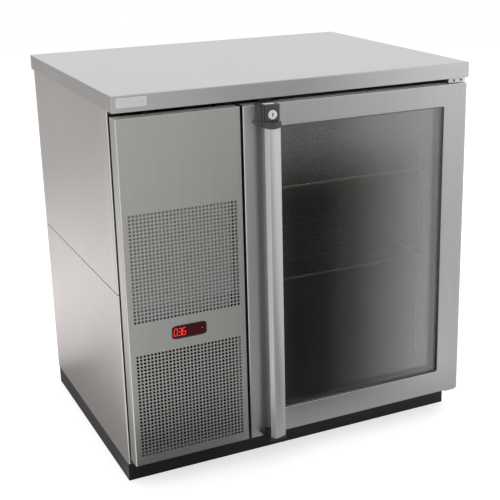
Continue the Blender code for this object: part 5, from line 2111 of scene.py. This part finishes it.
@dataclass
class Fan:
    """An axial fan: a domed hub and twisted blades."""

    node: str
    body: str
    blades: int = 5
    hub_share: float = 0.30
    chord_share: float = 0.62
    root_pitch: float = 42.0
    tip_pitch: float = 24.0
    wall: float = 0.0014

    def wheel(self) -> Surface:
        """Blades at equal turns about the hub, each a function of (out, across).

        Out runs from the hub to the tip. Across runs over the chord, which is turned by
        a pitch that falls from root to tip and bowed by a parabola.

        Returns:
            All blades as one sheet.
        """
        box = Extent.of(self.node)
        tip = 0.5 * (box.right - box.left)
        root = 0.9 * self.hub_share * tip
        lines = np.linspace(0.0, 1.0, 12), np.linspace(-0.5, 0.5, 9)
        out, across = np.meshgrid(*lines, indexing="ij")
        radius = root + (tip - root) * out * (1.0 - 0.06 * (2.0 * across) ** 4)
        pitch = np.radians(self.root_pitch + (self.tip_pitch - self.root_pitch) * out)
        chord = self.chord_share * tip * (0.75 + 0.25 * np.sin(np.pi * out))
        angle = across * chord * np.cos(pitch) / np.maximum(radius, 0.6 * tip)
        height = across * chord * np.sin(pitch) * 0.55 + 0.05 * chord * (0.25 - across**2)
        starts = np.linspace(0.0, 2.0 * np.pi, self.blades, endpoint=False)[:, None, None]
        turn = angle[None] + starts
        points = rows_of(radius * np.cos(turn), height, radius * np.sin(turn)).reshape(-1, 3)
        firsts = np.arange(self.blades)[:, None, None] * radius.size
        faces = (grid_faces(*radius.shape, turn=False)[None] + firsts).reshape(-1, 4)
        return Surface(points, [faces]).moved(box.middle())

    def hub(self) -> Surface:
        """Turned hub: a dome towards the front and a boss behind.

        Returns:
            The hub's skin.
        """
        box = Extent.of(self.node)
        size = 0.5 * (box.right - box.left) * self.hub_share
        half = 0.5 * (box.back - box.front)
        angle = np.radians(np.linspace(90.0, 0.0, 7))
        radius = 0.9 * size * np.cos(angle) + 0.1 * size * (angle < 1.5)
        boss = [(size, 0.8 * half), (0.8 * size, half), (0.0, half)]
        rows = np.vstack([rows_of(radius, -half * np.sin(angle)), boss])
        return revolve(rows, Axis.Y, box.middle(), 32)

    def pieces(self) -> list[Piece]:
        """Blades and hub.

        Returns:
            Both pieces.
        """
        finish, slot = Finishes.CHARCOAL, "charcoal_plastic"
        return [
            Piece(f"{self.node}_blades", self.wheel(), finish, self.body, slot, (self.node,),
                  solid=False, wall=self.wall),
            Piece(f"{self.node}_hub", self.hub(), finish, self.body, slot),
        ]


@dataclass
class Interior(Assembly):
    """Cold compartment: liner, wire shelves, lamp and cooler."""

    rod: float = 0.0038
    rod_bend: float = 0.012
    wire: float = 0.0021
    wires: int = 26
    rails: int = 3

    LAMP_ENDS = ((0.0, 0.80), (0.004, 0.95), (0.012, 1.0))

    def shelf(self, node: str) -> Surface:
        """A rod bent round the edge, wires from front to back on it, and rails under them.

        Args:
            node: the shelf's solid.

        Returns:
            The whole shelf as one skin.
        """
        box, rod, upright = Extent.of(node), self.rod, (0, 0, 1)
        left, right = box.left + rod, box.right - rod
        front, back = box.front + rod, box.back - rod
        top, low = box.top - self.wire, box.bottom + self.wire
        outline = rounded(rectangle(left, front, right, back), self.rod_bend)
        edge = lift(outline, Axis.Z, 0.5 * (box.bottom + box.top))
        wire = [(0.0, front, top), (0.0, 0.0, top), (0.0, back, top)]
        rail = [(left, 0.0, low), (0.5 * (box.left + box.right), 0.0, low), (right, 0.0, low)]
        places = np.linspace(box.left, box.right, self.wires + 2)[1:-1]
        depths = np.linspace(box.front, box.back, self.rails + 2)[1:-1]
        whole = tube(edge, upright, rod, 12, ring=True)
        whole = whole + tube(wire, upright, self.wire, 8).repeated(rows_of(places, 0.0, 0.0))
        return whole + tube(rail, upright, self.wire, 8).repeated(rows_of(0.0, depths, 0.0))

    def lamp(self) -> Surface:
        """Lamp cover: a half-round section carried along X, with rounded ends.

        Returns:
            The cover's skin.
        """
        box, angle = Extent.of("cabin_light"), np.linspace(0.0, np.pi, 13)
        half, deep = 0.5 * (box.back - box.front), box.top - box.bottom
        section = rows_of(half * np.cos(angle), -deep * np.sin(angle))
        centre = (0.5 * (box.front + box.back), box.top)
        rows = [(box.left + inset, size) for inset, size in self.LAMP_ENDS]
        rows += [(box.right - inset, size) for inset, size in self.LAMP_ENDS[::-1]]
        return loft([lift(section * size + centre, Axis.X, place) for place, size in rows])

    def pieces(self) -> list[Piece]:
        """Shelves, lamp and the cooler's fan.

        Returns:
            The pieces in that order.
        """
        lamp = Piece("cabin_light_cover", self.lamp(), Finishes.LAMP, "cabinet", "light",
                     ("cabin_light",))
        shelves = [
            Piece(f"{node}_wire", self.shelf(node), Finishes.SHELF, body, "shelf_steel", (node,))
            for node, body in (("shelf_upper", "upper_shelf"), ("shelf_lower", "lower_shelf"))
        ]
        return [*shelves, lamp, *Fan("evaporator_fan", "evaporator_fan").pieces()]

    def solids(self) -> Solids:
        """Liner, shelf posts and cooler.

        Returns:
            Their names by finish.
        """
        ends = [(side, end) for side in ("left", "right") for end in ("front", "rear")]
        return {
            Finishes.LINER: ["inner_liner"],
            Finishes.PILASTER: [f"pilaster_{side}_{end}" for side, end in ends],
            Finishes.COOLER: ["evaporator_cover"],
            Finishes.FINS_SHADED: ["evaporator_coil"],
            Finishes.MACHINE: ["evaporator_fan_motor"],
        }


@dataclass
class MachineBay(Assembly):
    """Compressor, condenser, pipes and their fittings behind the front panel."""

    pin_gap: float = 0.007
    pin_drop: float = 0.002
    pin_long: float = 0.010
    pin_wide: float = 0.002
    pin_tall: float = 0.0045
    pin_set: float = 0.001

    def pins(self) -> Surface:
        """Three flat pins in the inlet's recess, drawn in at their tips.

        Returns:
            All pins as one skin.
        """
        box = Extent.of("power_inlet")
        middle, wide, tall = box.middle(), 0.5 * self.pin_wide, 0.5 * self.pin_tall
        outline = rounded(rectangle(-wide, -tall, wide, tall), 0.4 * wide, 3)
        steps = ((1.0, 0.0), (1.0, 0.85 * self.pin_long), (0.6, self.pin_long))
        one = loft([lift(size * outline, Axis.Y, place) for size, place in steps])
        across = np.array([-self.pin_gap, 0.0, self.pin_gap])
        up = np.array([-self.pin_drop, self.pin_drop, -self.pin_drop])
        shifts = rows_of(across, box.back - self.pin_long - self.pin_set, up)
        return one.repeated(shifts + (middle[0], 0.0, middle[2]))

    def pieces(self) -> list[Piece]:
        """The condenser's fan and the inlet's pins."""
        pins = Piece("inlet_pins", self.pins(), Finishes.CHROME, "cabinet", "chrome")
        return [*Fan("condenser_fan", "condenser_fan").pieces(), pins]

    def solids(self) -> Solids:
        """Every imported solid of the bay.

        Returns:
            Their names by finish.
        """
        return {
            Finishes.MACHINE: ["compressor", "condenser_fan_motor"],
            Finishes.CHARCOAL: ["compressor_terminal_cover", "control_box", "power_inlet"],
            Finishes.FINS_SHADED: ["condenser_coil"],
            Finishes.ZINC: ["fan_shroud", "condenser_fan_bracket"],
            Finishes.COPPER: ["filter_drier", "capillary_line", "suction_line", "discharge_line"],
            Finishes.GREY: ["condensate_pan", "drain_tube"],
        }


@dataclass
class Studio:
    """Pale floor, soft surroundings and the camera."""

    floor_rings: tuple[float, ...] = (0.0, 0.4, 0.8, 1.6, 3.0, 5.0, 8.0)
    sky_tone: float = 1.05
    peak: float = 1.3
    back_tone: Colour = (0.40, 0.39, 0.385)
    back_span: Span = (-0.25, 0.25)
    sky_front: Span = (0.05, 0.55)
    sky_back: Span = (-0.03, 0.20)
    front_tones: Tones = (
        (-1.0, 0.60), (-0.5, 0.80), (0.0, 0.62), (0.25, 0.51), (0.29, 0.46), (0.35, 0.37),
        (0.40, 0.15), (0.43, 0.08), (0.47, 0.20), (0.50, 0.45), (0.54, 0.85), (0.60, 1.0),
    )
    azimuth: float = -26.1408
    elevation: float = 17.3636
    roll: float = -0.8491
    distance: float = 2.8625
    slide: Span = (0.0953, 0.0734)
    target: tuple[float, float, float] = (0.0, -0.03435, 0.43)
    sensor: float = 36.0
    lens: float = 77.35
    shift: Span = (-0.08, -0.044)

    def floor(self) -> None:
        """Lay a disc of rings that are carried out from the middle."""
        loops = [lift(radius * circle(64), Axis.Z, 0.0) for radius in self.floor_rings]
        made = link("studio_floor", loft(loops, caps=False), False)
        made.data.materials.append(PaleFloor().material())

    def surroundings(self) -> None:
        """White straight on; for light and gloss, bright above and soft greys round the horizon."""
        world = bpy.data.worlds.new("studio")
        bpy.context.scene.world = world
        world.use_nodes = True
        graph = Graph(world.node_tree)
        across, ahead, up = graph.split(graph.node("ShaderNodeTexCoord").outputs["Generated"])
        front = graph.ramp(across, self.front_tones)
        behind = ahead.rise(*self.back_span)
        sides = graph.mix(behind, front, self.back_tone)
        sky = up.rise(*self.sky_front) * (1.0 - behind) + up.rise(*self.sky_back) * behind
        soft = graph.mix(sky, sides, (self.sky_tone / self.peak,) * 3)
        seen, _ = graph.rays()
        sockets = {0: soft, "Scale": self.peak}
        scaled = graph.node("ShaderNodeVectorMath", {"operation": "SCALE"}, sockets).outputs[0]
        sockets = {"Color": graph.mix(seen, scaled, WHITE), "Strength": 1.0}
        ground = graph.node("ShaderNodeBackground", {}, sockets).outputs[0]
        graph.node("ShaderNodeOutputWorld", {}, {"Surface": ground})

    def camera(self) -> None:
        """Camera at the measured angle, distance and roll, with the frame's small shift."""
        turn, tilt, roll = (math.radians(a) for a in (self.azimuth, self.elevation, self.roll))
        level = math.cos(tilt)
        back = Vector((math.sin(turn) * level, -math.cos(turn) * level, math.sin(tilt)))
        right = Vector((math.cos(turn), math.sin(turn), 0.0))
        up = back.cross(right)
        place = Vector(self.target) + back * self.distance
        place += right * self.slide[0] + up * self.slide[1]
        side = right * math.cos(roll) + up * math.sin(roll)
        head = up * math.cos(roll) - right * math.sin(roll)
        data = bpy.data.cameras.new("camera")
        data.sensor_width = self.sensor
        data.lens = self.lens
        data.shift_x, data.shift_y = self.shift
        made = bpy.data.objects.new("camera", data)
        bpy.context.scene.collection.objects.link(made)
        pose = Matrix((side, head, back)).transposed().to_4x4()
        pose.translation = place
        made.matrix_world = pose
        bpy.context.scene.camera = made

    def build(self) -> None:
        """Set the stage."""
        bpy.context.scene.view_settings.view_transform = "Standard"
        self.floor()
        self.surroundings()
        self.camera()


def main() -> None:
    """Build the stage and every sub-assembly, then note the sizes."""
    logging.basicConfig(level=logging.INFO, format="%(message)s")
    Studio().build()
    groups = (CounterTop, Casing, FrontPanel, Display, Door, Handle, Interior, MachineBay)
    for group in groups:
        LOG.info("building %s", group.__name__)
        group().build()


if __name__ == "__main__":
    main()
